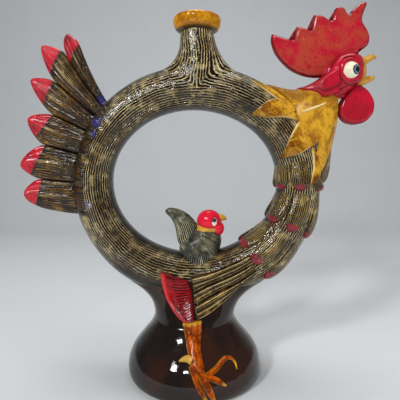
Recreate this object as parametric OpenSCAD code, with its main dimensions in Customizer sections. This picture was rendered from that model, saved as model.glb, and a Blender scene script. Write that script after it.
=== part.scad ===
// Rooster ring jug: a hollow clay ring on a bell foot, with a rooster's head and tail
// outside the ring and a chick sitting in its eye. Lengths in mm, angles in degrees.
// +X is where the rooster looks, -Y is its right side, +Z is up, and the origin is the
// middle of the foot on the table.

/* [Pedestal] */
// Largest radius of the bell foot
foot_r = 68; // [60:0.5:78]
// Height of the pedestal, up to the flat that carries the ring's saddle
pedestal_h = 60; // [52:1:72]
// Radius of the waist
waist_r = 41; // [36:0.5:46]
// Wall of the pedestal
pedestal_wall = 6; // [4:0.5:8]

/* [Ring] */
// Half the width of the ring over its outside, which is a wide oval
ring_r = 122.5; // [116:0.5:132]
// Half the height of the ring over its outside
ring_up = 116; // [110:0.5:126]
// Height of the ring's lowest point above the pedestal's flat
ring_lift = 17.5; // [12:0.5:22]
// How far the ring's middle lies to the right of the foot's middle
ring_shift = 3; // [0:0.1:8]
// Thickness of the ring from its right face to its left face
ring_depth = 46; // [40:0.5:54]
// Width of the eye, the opening inside the ring
eye_w = 163.6; // [150:0.2:172]
// Height of the eye
eye_h = 142; // [130:0.5:152]
// How far the eye's middle lies to the right of the ring's middle
eye_shift = -2.3; // [-5:0.1:3]
// How far the eye's middle lies above the ring's middle
eye_rise = 2.5; // [-2:0.1:5]
// Wall of the hollow ring
ring_wall = 5; // [3.5:0.5:7]

/* [Neck and mouth] */
// Height of the neck above the ring's crown
neck_h = 31.5; // [24:0.5:40]
// Outer radius of the neck
neck_r = 16.5; // [15:0.25:20]
// Radius of the bore
bore_r = 12; // [9:0.25:13]
// Height of the collar coil
collar_h = 14; // [12:0.5:22]
// Outer radius of the collar coil
collar_r = 23; // [20:0.5:28]

/* [Tail] */
// Reach of the longest tail feather beyond the ring
tail_reach = 79; // [60:1:88]
// Thickness of a tail feather along its ridge
feather_ridge_t = 10; // [7:0.5:14]
// Thickness of a tail feather along its edges
feather_edge_t = 4; // [3:0.5:6]

/* [Head] */
// Distance of the head's seat beyond the ring
head_reach = 33.5; // [30:0.5:38]
// Direction of the head's seat from the ring's middle
head_deg = 35; // [33:0.5:37]
// Length of the head from nape to beak
head_l = 43; // [38:0.5:50]
// Height of the head above its seat
head_h = 38; // [33:0.5:44]
// Width of the head across the eyes
head_w = 34; // [30:0.5:40]
// Length of the comb
comb_l = 93; // [80:1:100]
// Height of the comb's tallest point above the head's seat
comb_h = 85; // [78:1:90]
// Thickness of the comb
comb_t = 11; // [8:0.5:15]
// Radius of an eyeball
eyeball_r = 9.5; // [8.5:0.25:10.5]
// Radius of a pupil
pupil_r = 3; // [2:0.25:4]
// Drop of the wattles below the head's seat
wattle_h = 30; // [24:0.5:36]
// Thickness of one wattle
wattle_t = 6; // [4:0.5:8]
// Length of the beak in front of the face
beak_l = 12; // [9:0.5:16]

/* [Body relief] */
// Rise of a hackle leaf above the ring
leaf_t = 3; // [2:0.25:4]
// Rise of a breast feather at its tip
tab_t = 4; // [2.5:0.25:5]
// Rise of the wing above the body
wing_t = 4; // [3:0.25:6]
// Width of the shank
shank_w = 15; // [12:0.5:18]
// Width of a toe
toe_w = 7; // [5:0.25:8]

/* [Chick] */
// Length of the chick's body
chick_l = 38; // [34:0.5:44]
// Height of the chick's body above the floor of the eye
chick_h = 23; // [20:0.5:28]
// Width of the chick's body
chick_w = 28; // [24:0.5:32]
// Radius of the chick's head
chick_head_r = 12.5; // [11:0.25:14]
// Height of the chick's neck band
band_h = 6; // [4:0.5:8]
// How far the chick sits to the right of the ring's middle
chick_shift = 5; // [0:0.5:10]

/* [Hidden] */
// Clearance between two pieces that are seated on each other
seat_gap = 0.3;
// Overrun of a cut
over = 1;
// Least thickness of a feathered edge
thin = 0.8;
// Places that follow from the driving sizes
ring_z = pedestal_h + ring_lift + ring_up;
crown_z = ring_z + ring_up;
floor_z = ring_z + eye_rise - eye_h / 2;
head_x = ring_shift + (ring_r + head_reach) * cos(head_deg);
head_z = ring_z + (ring_r + head_reach) * sin(head_deg);
// Steps round the ring and round its tube, for the wall and for the hollow
ring_step = 6;
tube_step = 20;
hollow_step = 12;
hollow_tube_step = 36;
$fn = 48;

// Glaze colours
ink = [0.16, 0.13, 0.10];
bronze = [0.35, 0.28, 0.16];
gold = [0.74, 0.48, 0.12];
crimson = [0.72, 0.10, 0.16];
cream = [0.93, 0.90, 0.78];
amber = [0.72, 0.38, 0.08];

// Place a share s of the way from a to b
function between(a, b, s) = a + (b - a) * s;

// A run of points with n steps between each two of the points given
function finer(pts, n) = [for (i = [0 : len(pts) - 2]) for (k = [0 : n - 1])
    between(pts[i], pts[i + 1], k / n), pts[len(pts) - 1]];

// An arc from a to b in n steps, bulging to the left of its way by a share of its length
function bow(a, b, bulge, n) = [for (k = [0 : n - 1]) let (s = k / n, d = b - a)
    a + d * s + [-d[1], d[0]] * bulge * 4 * s * (1 - s)];

// The outline through corners [x, y, bulge to the next corner]
function bowed(corners, n) = [for (i = [0 : len(corners) - 1])
    let (a = corners[i], b = corners[(i + 1) % len(corners)])
    each bow([a[0], a[1]], [b[0], b[1]], a[2], abs(a[2]) > 0 ? n : 1)];

// Triangles over a grid of rows and columns of points that starts at number o
function grid_faces(rows, cols, o, turned) = [for (i = [0 : rows - 2]) for (j = [0 : cols - 2])
    let (a = o + i * cols + j, b = a + 1, c = a + cols, d = c + 1)
    each turned ? [[a, c, b], [b, c, d]] : [[a, b, c], [b, d, c]]];

// A closed solid of points and triangles, with every triangle turned to face outwards
module solid(points, faces) {
  flux = [for (f = faces) 1] * [for (f = faces)
    cross(points[f[1]] - points[f[0]], points[f[2]] - points[f[0]]) * points[f[0]]];
  polyhedron(points, [for (f = faces) flux > 0 ? [f[0], f[2], f[1]] : f]);
}

// The closed solid between two grids of points, the outer one and the one that is seated
module slab(outer, seat) {
  rows = len(outer);
  cols = len(outer[0]);
  n = rows * cols;
  rim = [for (j = [0 : cols - 2]) j, for (i = [0 : rows - 2]) i * cols + cols - 1,
    for (j = [cols - 1 : -1 : 1]) (rows - 1) * cols + j, for (i = [rows - 1 : -1 : 1]) i * cols];
  walls = [for (k = [0 : len(rim) - 1]) let (a = rim[k], b = rim[(k + 1) % len(rim)])
    each [[a, a + n, b], [b, a + n, b + n]]];
  solid([for (r = outer) each r, for (r = seat) each r],
    concat(grid_faces(rows, cols, 0, true), grid_faces(rows, cols, n, false),
      [for (w = walls) [w[0], w[2], w[1]]]));
}

// The closed solid through closed loops of points, with a point in the middle of each end
module skin(loops) {
  m = len(loops[0]);
  n = len(loops);
  first = [for (p = loops[0]) 1] * loops[0] / m;
  last = [for (p = loops[n - 1]) 1] * loops[n - 1] / m;
  sides = [for (i = [0 : n - 2]) for (j = [0 : m - 1])
    let (a = i * m + j, b = i * m + (j + 1) % m, c = a + m, d = b + m)
    each [[a, b, c], [b, d, c]]];
  ends = [for (j = [0 : m - 1]) let (k = (j + 1) % m)
    each [[n * m, k, j], [n * m + 1, (n - 1) * m + j, (n - 1) * m + k]]];
  solid([for (r = loops) each r, first, last], concat(sides, ends));
}

// The closed surface through loops of points that run round and meet again
module skin_round(loops) {
  m = len(loops[0]);
  n = len(loops);
  solid([for (r = loops) each r], [for (i = [0 : n - 1]) for (j = [0 : m - 1])
    let (a = i * m + j, b = i * m + (j + 1) % m, c = (a + m) % (n * m), d = (b + m) % (n * m))
    each [[a, b, c], [b, d, c]]]);
}

// Level loops, each row [share of height, lowest x, highest x, half width], in real sizes
module level_loft(rows, h, l, w, sides) {
  skin([for (r = rows) [for (k = [0 : sides - 1]) let (a = -k * 360 / sides)
    [(r[1] + r[2]) / 2 * l + (r[2] - r[1]) / 2 * l * cos(a), r[3] * w * sin(a), r[0] * h]]]);
}

// A tube along a path of [x, y, z], with half widths across in the X-Z plane and along Y
module tapered_tube(path, across, deep, sides) {
  skin([for (i = [0 : len(path) - 1])
    let (d = path[min(i + 1, len(path) - 1)] - path[max(i - 1, 0)],
      n = [d[2], 0, -d[0]] / norm([d[0], d[2]]))
    [for (k = [0 : sides - 1]) let (a = k * 360 / sides)
      path[i] + n * across[i] * cos(a) + [0, deep[i] * sin(a), 0]]]);
}

// A flat pad of an outline in the X-Z plane, thickest in its middle
module pad(outline, middle, t, edge_t, shrink) {
  rotate([90, 0, 0]) translate([middle[0], middle[1], 0]) {
    linear_extrude(edge_t, center = true) polygon([for (p = outline) p - middle]);
    for (side = [0, 1]) mirror([0, 0, side]) translate([0, 0, edge_t / 2])
      linear_extrude((t - edge_t) / 2, scale = shrink) polygon([for (p = outline) p - middle]);
  }
}

// Radius of the eye's edge in the direction t from the ring's middle
function eye_edge(t) = let (a = eye_w / 2, b = eye_h / 2,
    p = pow(cos(t) / a, 2) + pow(sin(t) / b, 2),
    q = cos(t) * eye_shift / (a * a) + sin(t) * eye_rise / (b * b),
    k = pow(eye_shift / a, 2) + pow(eye_rise / b, 2) - 1)
  (q + sqrt(q * q - p * k)) / p;
// Radius of an oval in the direction t, from its level and upright radii
function oval_edge(t, level, upright) = 1 / sqrt(pow(cos(t) / level, 2) + pow(sin(t) / upright, 2));
// Radius of the ring's outer edge in the direction t
function ring_edge(t) = oval_edge(t, ring_r, ring_up);
function tube_mid(t) = (ring_edge(t) + eye_edge(t)) / 2;
function tube_half(t) = (ring_edge(t) - eye_edge(t)) / 2;

// The ring's skin at t round the ring and p round its tube, raised by h: p is 0 outside,
// 90 on the right face, 180 in the eye and 270 on the left face
function ring_point(t, p, h = 0) = let (r = tube_mid(t) + (tube_half(t) + h) * cos(p))
  [ring_shift + r * cos(t), -(ring_depth / 2 + h) * sin(p), ring_z + r * sin(t)];

// The solid of the ring between two directions, grown by a clearance
module ring_part(from_t, to_t, h) {
  skin([for (t = [from_t : ring_step : to_t])
    [for (p = [0 : tube_step : 359]) ring_point(t, p, h)]]);
}

module ring_body() {
  color(bronze) difference() {
    skin_round([for (t = [0 : ring_step : 359])
      [for (p = [0 : tube_step : 359]) ring_point(t, p)]]);
    skin_round([for (t = [0 : hollow_step : 359])
      [for (p = [0 : hollow_tube_step : 359]) ring_point(t, p, -ring_wall)]]);
    translate([ring_shift, 0, ring_z + tube_mid(90)]) cylinder(h = tube_half(90) + over, r = bore_r);
  }
}

// The pedestal's outer radius: shares of its height and of the way from waist to foot
bell_shares = [[0, 0.87], [0.04, 0.95], [0.12, 1], [0.22, 1], [0.33, 0.95], [0.47, 0.81],
  [0.6, 0.6], [0.72, 0.38], [0.83, 0.19], [0.93, 0.06], [1, 0]];
function bell_r(z) = waist_r + (foot_r - waist_r) * lookup(z / pedestal_h, bell_shares);

module pedestal() {
  roof = pedestal_h - pedestal_wall;
  color(ink) rotate_extrude($fn = 72) polygon([
    for (s = bell_shares) [waist_r + (foot_r - waist_r) * s[1], s[0] * pedestal_h],
    [0, pedestal_h], [0, roof], [waist_r - 2 * pedestal_wall, roof],
    for (i = [len(bell_shares) - 3 : -1 : 0]) let (s = bell_shares[i])
      [waist_r + (foot_r - waist_r) * s[1] - pedestal_wall, s[0] * roof]]);
}

// The saddle's loops: share of its height, half length over the waist, half width over it
saddle_shares = [[0, 1, 1], [0.16, 1.02, 0.95], [0.32, 1.06, 0.86], [0.48, 1.13, 0.75],
  [0.62, 1.22, 0.67], [0.8, 1.24, 0.6], [1, 1.24, 0.57]];
saddle_h = ring_lift + tube_half(-90);
function saddle_row(z, k) = waist_r
  * lookup((z - pedestal_h) / saddle_h, [for (s = saddle_shares) [s[0], s[k]]]);
function saddle_long(z) = saddle_row(z, 1);
function saddle_wide(z) = saddle_row(z, 2);
function saddle_x(z) = ring_shift * (z - pedestal_h) / saddle_h;

module ring_saddle() {
  color(ink) difference() {
    skin([for (s = saddle_shares) let (z = pedestal_h + s[0] * saddle_h)
      [for (a = [0 : 15 : 359]) [saddle_x(z) + saddle_long(z) * cos(a), -saddle_wide(z) * sin(a), z]]]);
    ring_part(-126, -54, seat_gap);
  }
}

// Depth of the jug's right face at a place x, z: the ring, its saddle or the pedestal
function ring_face(x, z) = let (r = norm([x - ring_shift, z - ring_z]),
    t = atan2(z - ring_z, x - ring_shift), c = (r - tube_mid(t)) / tube_half(t))
  ring_depth / 2 * sqrt(max(0, 1 - c * c));
function saddle_face(x, z) = z < pedestal_h || z > pedestal_h + saddle_h ? 0 :
  saddle_wide(z) * sqrt(max(0, 1 - pow((x - saddle_x(z)) / saddle_long(z), 2)));
function bell_face(x, z) = z > pedestal_h ? 0 : sqrt(max(0, pow(bell_r(z), 2) - x * x));
function face(x, z) = max(ring_face(x, z), saddle_face(x, z), bell_face(x, z));

// The neck's foot: share of its height, half length and half width over the neck's radius
neck_shares = [[-0.43, 3.05, 1.36], [-0.2, 2.2, 1.34], [-0.04, 1.8, 1.3], [0.13, 1.5, 1.22],
  [0.32, 1.27, 1.13], [0.54, 1.11, 1.05], [0.76, 1.02, 1], [1, 1, 1]];

module neck() {
  color(bronze) difference() {
    skin([for (s = neck_shares) [for (a = [0 : 15 : 359])
      [ring_shift + s[1] * neck_r * cos(a), -s[2] * neck_r * sin(a), crown_z + s[0] * neck_h]]]);
    ring_part(54, 126, seat_gap);
    translate([ring_shift, 0, ring_z + tube_mid(90)])
      cylinder(h = crown_z + neck_h - ring_z - tube_mid(90) + over, r = bore_r);
  }
}

// The collar's rounded outline: shares of its height and of its overhang beyond the neck
collar_shares = [[0, 0.1], [0.05, 0.45], [0.16, 0.7], [0.36, 0.9], [0.6, 1], [0.8, 0.97],
  [0.94, 0.78], [1, 0.4]];

module mouth_collar() {
  color(gold) translate([ring_shift, 0, crown_z + neck_h]) rotate_extrude($fn = 72)
    polygon([for (s = collar_shares) [neck_r + (collar_r - neck_r) * s[1], s[0] * collar_h],
      [bore_r, collar_h], [bore_r, 0]]);
}

// The tail's fan: directions of its roots on the ring, then [direction, share of the reach]
// of the notches between the feathers and of their tips
tail_root_deg = [139, 141.5, 146, 153.5, 165, 179, 196];
tail_notch_shares = [[129.5, 0.71], [134.7, 0.75], [143.8, 0.65], [154, 0.48], [165.3, 0.47],
  [177.7, 0.47], [188, 0.48]];
tail_tip_shares = [[130.5, 0.88], [138.2, 1], [147.7, 0.88], [158.6, 0.72], [173.4, 0.7],
  [183.1, 0.66]];
// How far round the tube a feather's root reaches, in degrees
tail_root_p = 40;
// Width of a feather's blunt tip
tip_w = 4;

// Degrees that a length takes at a radius
function arc_deg(l, r) = l / r * 180 / PI;

// One edge of a feather: from its root to its notch and to its tip, as [direction, radius]
function tail_edge(root, notch, tip, side) = let (o = [root, ring_edge(root) - ring_wall],
    n = [notch[0], ring_r + notch[1] * tail_reach], e = [tip[0], ring_r + tip[1] * tail_reach],
    q = [o, for (k = [1 : 3]) between(o, n, k / 3),
      for (k = [1 : 3]) between(n, e, k / 3) + [0, (k < 3 ? tip_w / 2 : 0)]], last = len(q) - 1)
  [for (i = [0 : last]) let (out = i == last ? tip_w / 2 : -seat_gap / 2)
    [q[i][0] + side * arc_deg(out, q[i][1]), q[i][1]]];

function tail_side(i, j, side) =
  tail_edge(tail_root_deg[j], tail_notch_shares[j], tail_tip_shares[i], side);

// Right face of a feather from inside the ring to its tip, at a share s of its width
function tail_face(i, s) = let (a = tail_side(i, i, -1), b = tail_side(i, i + 1, 1),
    root = ring_depth / 2 * sin(tail_root_p), u = 1 - abs(2 * s - 1))
  [for (j = [0 : len(a) - 1]) let (q = between(a[j], b[j], s), w = max(0, 1 - j / 3),
    blade = between(feather_edge_t, feather_ridge_t, u) / 2 * (j == len(a) - 1 ? 0.5 : 1))
    [ring_shift + q[1] * cos(q[0]), -between(blade, root, w * w), ring_z + q[1] * sin(q[0])]];

module tail_feather(i) {
  right = [for (s = [0, 0.25, 0.5, 0.75, 1]) tail_face(i, s)];
  color(i % 2 == 0 ? bronze : ink) difference() {
    slab(right, [for (r = right) [for (p = r) [p[0], -p[1], p[2]]]]);
    ring_part(120, 210, seat_gap);
  }
}
module tail_feather_1() { tail_feather(0); }
module tail_feather_2() { tail_feather(1); }
module tail_feather_3() { tail_feather(2); }
module tail_feather_4() { tail_feather(3); }
module tail_feather_5() { tail_feather(4); }
module tail_feather_6() { tail_feather(5); }

// The bird's neck, from its lowest point to the head's seat: share of the height, throat
// line and inner line as shares of the head's length from the seat, share of the width
bird_neck_shares = [[0, -0.3, 0.06, 0.3], [0.05, -0.45, 0.12, 0.55], [0.18, -0.6, 0.14, 0.85],
  [0.35, -0.65, 0.14, 1.05], [0.5, -0.7, 0.15, 1.15], [0.65, -0.8, 0.21, 1.18],
  [0.82, -0.95, 0.22, 1.12], [0.93, -0.95, 0.22, 1.02], [1, -0.7, 0.2, 0.9]];
bird_neck_h = head_z - ring_z;

module bird_neck_form(gap) {
  translate([head_x, 0, ring_z])
    level_loft([for (r = bird_neck_shares) [r[0], r[1] - gap / head_l, r[2] + gap / head_l,
      r[3] / 2 + gap / head_w]], bird_neck_h, head_l, head_w, 20);
}
module bird_neck() {
  color(gold) difference() {
    bird_neck_form(0);
    ring_part(-6, 60, seat_gap);
  }
}

// The head over its seat: share of the height, back and face as shares of the length, width
head_shares = [[0, -0.3, 0.42, 0.78], [0.12, -0.28, 0.55, 0.9], [0.28, -0.22, 0.72, 0.97],
  [0.45, -0.18, 0.765, 1], [0.63, -0.12, 0.77, 1], [0.8, 0.02, 0.76, 0.88],
  [0.92, 0.14, 0.7, 0.66], [1, 0.32, 0.56, 0.3]];
function head_row(v, k) = lookup(v, [for (r = head_shares) [r[0], r[k]]]);

// The head's skin at a share v of its height and an angle a from the face, raised by h
function head_point(v, a, h = 0) = let (back = head_row(v, 1), front = head_row(v, 2))
  [head_x + (back + front) / 2 * head_l + ((front - back) / 2 * head_l + h) * cos(a),
    -(head_row(v, 3) * head_w / 2 + h) * sin(a), head_z + v * head_h];

module head_form(gap) {
  skin([for (r = head_shares) [for (a = [0 : 20 : 359]) head_point(r[0], a, gap)
      + [0, 0, r[0] == 1 ? gap : 0]]]);
}
module head() { color(crimson) head_form(0); }

// Place of a point of the head's side view, in shares of the head's length and height
function head_at(u, v) = [head_x + u * head_l, head_z + v * head_h];

nape_shares = [[-0.64, 0.02, 0.06], [-0.22, 0.34, 0], [0.05, 0.4, 0], [0.05, 0.02, 0]];
module nape() {
  outline = [for (q = bowed(nape_shares, 4)) head_at(q[0], q[1])];
  color(crimson) difference() {
    pad(outline, head_at(0, 0.2), head_w * 0.6, head_w * 0.3, 0.75);
    head_form(seat_gap);
  }
}

// The comb's points and notches: shares of its length and height from the head's seat,
// and the bulge of the line to the next
comb_shares = [[-0.6, 0.66, 0.02], [-0.38, 0.59, 0.08], [-0.35, 0.73, 0.06], [-0.2, 0.69, 0.06],
  [-0.17, 0.86, 0.12], [0, 0.8, 0.08], [0.08, 0.95, 0.1], [0.18, 0.86, 0.14], [0.36, 1, -0.06],
  [0.31, 0.79, 0.1], [0.4, 0.58, 0.1], [0.29, 0.465, 0], [0.15, 0.34, 0], [-0.04, 0.18, 0.24],
  [-0.61, 0.58, 0]];

module comb() {
  outline = [for (q = bowed(comb_shares, 5)) [head_x + q[0] * comb_l, head_z + q[1] * comb_h]];
  color(crimson) difference() {
    pad(outline, [head_x, head_z + comb_h / 2], comb_t, comb_t / 2, 0.9);
    head_form(seat_gap);
  }
}

// The eye's middle on the head
eye_x = head_at(0.37, 0.5)[0];
eye_z = head_at(0.37, 0.5)[1];
eye_y = -head_w * 0.35;
pupil_turn = 32;
pupil_t = 0.8;

module eyeball_right() {
  color(cream) difference() {
    translate([eye_x, eye_y, eye_z]) sphere(eyeball_r);
    head_form(seat_gap);
  }
}
module pupil_right() {
  inner_r = eyeball_r + seat_gap;
  spread = asin(pupil_r / inner_r);
  color(ink) translate([eye_x, eye_y, eye_z]) rotate([90, 0, pupil_turn]) rotate_extrude()
    polygon([for (a = [0 : 4]) let (q = a / 4 * spread) inner_r * [sin(q), cos(q)],
      for (a = [3 : -1 : 0]) let (q = a / 4 * spread, r = inner_r + pupil_t * cos(90 * a / 4))
        r * [sin(q), cos(q)]]);
}
module eyelid_right() {
  lid_r = 0.17 * eyeball_r;
  color(crimson) difference() {
    translate([eye_x, -head_w / 2, eye_z]) rotate([90, 0, 0]) rotate_extrude()
      translate([eyeball_r * 0.93, 0]) circle(lid_r, $fn = 16);
    translate([eye_x, eye_y, eye_z]) sphere(eyeball_r + seat_gap);
    head_form(seat_gap);
  }
}

// A rounded strip on the head: rows of [share of height, angle], and its half width in both
module head_fold(rows, half, rise) {
  lift = 1.5 * seat_gap;
  across = [-1, 0, 1];
  top = [for (k = across) [for (r = rows) let (q = r + k * half)
    head_point(q[0], q[1], lift + thin + rise * (1 - k * k))]];
  base = [for (k = across) [for (r = rows) let (q = r + k * half) head_point(q[0], q[1], lift)]];
  slab(top, base);
}
// The fold behind the eye and the one under it
back_fold_shares = [[0.92, 92], [0.8, 112], [0.7, 119], [0.5, 124], [0.25, 124], [0.03, 121]];
under_fold_shares = [[0.1, 52], [0.07, 72], [0.06, 92], [0.07, 110]];
module cheek_folds_right() {
  color(crimson) {
    head_fold(finer(back_fold_shares, 2), [0, 5], 1.4 * thin);
    head_fold(finer(under_fold_shares, 2), [0.05, 0], thin);
  }
}

// One half of the beak: places as shares of the reach of its tip and of the head's height,
// and half widths across and deep as shares of a quarter of the beak's length
module beak_half(place_shares, across_shares, deep_shares) {
  reach = head_l * 0.77 + beak_l;
  quarter = beak_l / 4;
  difference() {
    tapered_tube([for (q = place_shares) [head_x + q[0] * reach, 0, head_z + q[1] * head_h]],
      quarter * across_shares, quarter * deep_shares, 10);
    head_form(seat_gap);
  }
}
module upper_beak() {
  color(gold) beak_half([[0.62, 0.8], [0.8, 0.83], [0.9, 0.89], [0.96, 0.915], [1, 0.86]],
    [1.4, 1.2, 1, 0.7, 0.3], [2.2, 1.8, 1.2, 0.8, 0.3]);
}
module lower_beak() {
  color(gold) beak_half([[0.6, 0.3], [0.8, 0.33], [0.91, 0.38], [1.01, 0.42]], [1.4, 1.3, 1, 0.3],
    [1.8, 1.6, 1, 0.4]);
}

// A wattle's outline: shares of the head's length and of the wattle's drop, and bulges
wattle_shares = [[0.74, 0.2, 0.2], [1.02, -0.36, 0.22], [0.62, -1, 0.22], [0.24, -0.58, 0.16],
  [0.42, 0, 0], [0.6, 0.2, 0]];
module wattle_right() {
  outline = [for (q = bowed(wattle_shares, 5)) [head_x + q[0] * head_l, head_z + q[1] * wattle_h]];
  color(crimson) difference() {
    translate([0, -(wattle_t + seat_gap) / 2, 0])
      pad(outline, [head_x + 0.62 * head_l, head_z - 0.4 * wattle_h], wattle_t, wattle_t / 2, 0.85);
    head_form(seat_gap);
    bird_neck_form(seat_gap);
  }
}

// A relief on the ring between two edges of [t, p], crowned across and tapered by its rises
module ring_relief(edge_a, edge_b, rises, steps) {
  lift = 1.4 * seat_gap;
  a = finer(edge_a, steps);
  b = finer(edge_b, steps);
  r = finer(rises, steps);
  function spot(s, j, h) = let (q = between(a[j], b[j], s)) ring_point(q[0], q[1], h);
  across = [0, 0.25, 0.5, 0.75, 1];
  top = [for (s = across) [for (j = [0 : len(a) - 1])
    spot(s, j, lift + thin + (r[j] - thin) * (1 - 0.4 * pow(2 * s - 1, 2)))]];
  base = [for (s = across) [for (j = [0 : len(a) - 1]) spot(s, j, lift)]];
  slab(top, base);
}

// A hackle leaf: what the bird's neck leaves of a relief that runs in under it
module hackle_leaf(edge_a, edge_b) {
  n = len(edge_a);
  color(gold) difference() {
    ring_relief(edge_a, edge_b, [for (i = [0 : n - 1]) i == n - 1 ? thin * 1.5 : leaf_t], 2);
    bird_neck_form(seat_gap);
  }
}
module hackle_crest_right() {
  hackle_leaf([[41, 50], [46, 49.5], [51, 52], [56, 52], [60, 50]],
    [[38, 24], [44, 26], [50, 32], [55, 41], [60, 47]]);
}
module hackle_side_right() {
  hackle_leaf([[34, 42], [37, 68], [44, 104], [50, 119], [52, 123]],
    [[40, 52.5], [46, 53], [49.2, 64], [51.2, 90], [52.5, 119]]);
}
module hackle_breast_right() {
  hackle_leaf([[19, 40], [19, 60], [18, 85], [18, 110], [18.5, 136]],
    [[33, 40], [32, 60], [29, 88], [24, 114], [19.5, 139]]);
}
// The lowest leaf, which lies over the breast feathers
throat_edges = [[[15, 20], [11, 20], [7, 26], [3.5, 40], [1.5, 66]],
  [[18, 36], [13, 48], [8, 62], [5, 68], [2.2, 72]]];
module hackle_throat_right() { hackle_leaf(throat_edges[0], throat_edges[1]); }
module hackle_throat_room() {
  spread = arc_deg(2 * seat_gap, ring_depth / 2);
  function out(edge, side) = [for (i = [0 : 4]) edge[i] + [i == 4 ? -spread / 3 : 0, side * spread]];
  a = out(throat_edges[0], -1);
  b = out(throat_edges[1], 1);
  across = [0, 0.25, 0.5, 0.75, 1];
  slab([for (s = across) [for (i = [0 : 4]) let (q = between(a[i], b[i], s))
      ring_point(q[0], q[1], tab_t + leaf_t)]],
    [for (s = across) [for (i = [0 : 4]) let (q = between(a[i], b[i], s)) ring_point(q[0], q[1], 0)]]);
}

// The tube angles of a row's breast feathers and half the width of one
tab_p = [152, 96, 36];
tab_half_p = 24;
// A breast feather's outline: share of its length and of its half width
tab_shares = [[0, 0.8], [0.4, 1], [0.75, 0.9], [1, 0.35]];
module breast_feather(root_t, tip_t, p) {
  function edge(side) = [for (q = tab_shares)
    [between(root_t, tip_t, q[0]), p + side * tab_half_p * q[1]]];
  ring_relief(edge(1), edge(-1), [thin, tab_t * 0.5, tab_t * 0.9, tab_t], 2);
}
module breast_row(root_t, tip_t, turn) {
  for (side = [0, 1]) mirror([0, side, 0]) for (i = [0 : 2])
    breast_feather(root_t[i], tip_t, tab_p[i] + turn);
}
module breast_feathers_upper() {
  color(bronze) difference() {
    breast_row([15, 15, 5], -2, 0);
    bird_neck_form(seat_gap);
    for (side = [0, 1]) mirror([0, side, 0]) hackle_throat_room();
  }
}
module breast_feathers_middle() { color(bronze) breast_row([-4, -4, -4], -25, -8); }
module breast_feathers_lower() { color(bronze) breast_row([-28, -28, -28], -53, 2); }

// A relief on the jug's right face between two edges of [x, z] in shares of the level radius. The
// edges are drawn on a ring whose level and upright radii are in these shares to each other, and
// each of their points moves in or out with the real ring's edge in its direction.
drawn_shares = [122.5, 116];
module face_relief(edge_a, edge_b, rise, steps) {
  lift = 3 * seat_gap;
  a = finer(edge_a, steps);
  b = finer(edge_b, steps);
  across = [0, 0.25, 0.5, 0.75, 1];
  function spot(s, j, h) = let (q = between(a[j], b[j], s) * drawn_shares[0], t = atan2(q[1], q[0]),
    k = ring_edge(t) / oval_edge(t, drawn_shares[0], drawn_shares[1]),
    x = ring_shift + q[0] * k, z = ring_z + q[1] * k) [x, -face(x, z) - h, z];
  top = [for (s = across) [for (j = [0 : len(a) - 1])
    spot(s, j, lift + thin + (rise - thin) * sqrt(1 - pow(2 * s - 1, 2)))]];
  base = [for (s = across) [for (j = [0 : len(a) - 1]) spot(s, j, lift)]];
  slab(top, base);
}
wing_edge_shares = [[-0.29, -0.67], [-0.28, -0.76], [-0.255, -0.86], [-0.21, -0.94],
  [-0.15, -1.0], [-0.085, -1.035]];
wing_root_shares = [[-0.07, -0.74], [-0.045, -0.81], [-0.035, -0.87], [-0.03, -0.92],
  [-0.025, -0.98], [-0.02, -1.03]];
module wing_shoulder_right() {
  color(crimson) face_relief(wing_edge_shares, wing_root_shares, wing_t, 2);
}

// Lines between the flight feathers, from the shoulder up to their tips
flight_shares = [[[-0.05, -0.7], [0.14, -0.66], [0.33, -0.58], [0.42, -0.53]],
  [[-0.03, -0.83], [0.11, -0.76], [0.28, -0.69], [0.42, -0.61]],
  [[-0.02, -0.91], [0.13, -0.84], [0.34, -0.74], [0.47, -0.65]],
  [[0, -1.02], [0.12, -0.97], [0.27, -0.87], [0.45, -0.72]]];
module flight_feathers_right() {
  slit = seat_gap / (ring_up * drawn_shares[0] / drawn_shares[1]);
  color(bronze) for (i = [0 : 2])
    face_relief([for (q = flight_shares[i]) q - [0, slit]], flight_shares[i + 1], wing_t * 0.8, 3);
}

// A strip on the bell: rows of [direction, share of the pedestal's height, half width share]
module bell_strip(rows, w, rise) {
  n = len(rows);
  lift = 2 * seat_gap;
  // The bell's slope makes a strip longer than its height
  slope = 1.4;
  function spot(i, k, h) = let (a = rows[max(i - 1, 0)], b = rows[min(i + 1, n - 1)],
      q = rows[i], z = q[1] * pedestal_h, r = bell_r(z),
      d = [(b[0] - a[0]) * PI / 180 * r, (b[1] - a[1]) * pedestal_h * slope],
      m = [-d[1], d[0]] / norm(d) * k * q[2] * w / 2,
      t = q[0] + arc_deg(m[0], r), y = z + m[1] / slope, e = bell_r(y) + h)
    [e * sin(t), -e * cos(t), y];
  across = [-1 : 0.5 : 1];
  top = [for (k = across) [for (i = [0 : n - 1])
    spot(i, k, lift + thin + rise * rows[i][2] * sqrt(1 - k * k))]];
  base = [for (k = across) [for (i = [0 : n - 1]) spot(i, k, lift)]];
  slab(top, base);
}
shank_rows = [[-1, 0.97, 1], [0, 0.85, 0.95], [1, 0.72, 0.75], [3, 0.6, 0.7]];
module shank_right() {
  color(amber) bell_strip(finer(shank_rows, 2), shank_w, shank_w * 0.5);
}
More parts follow.
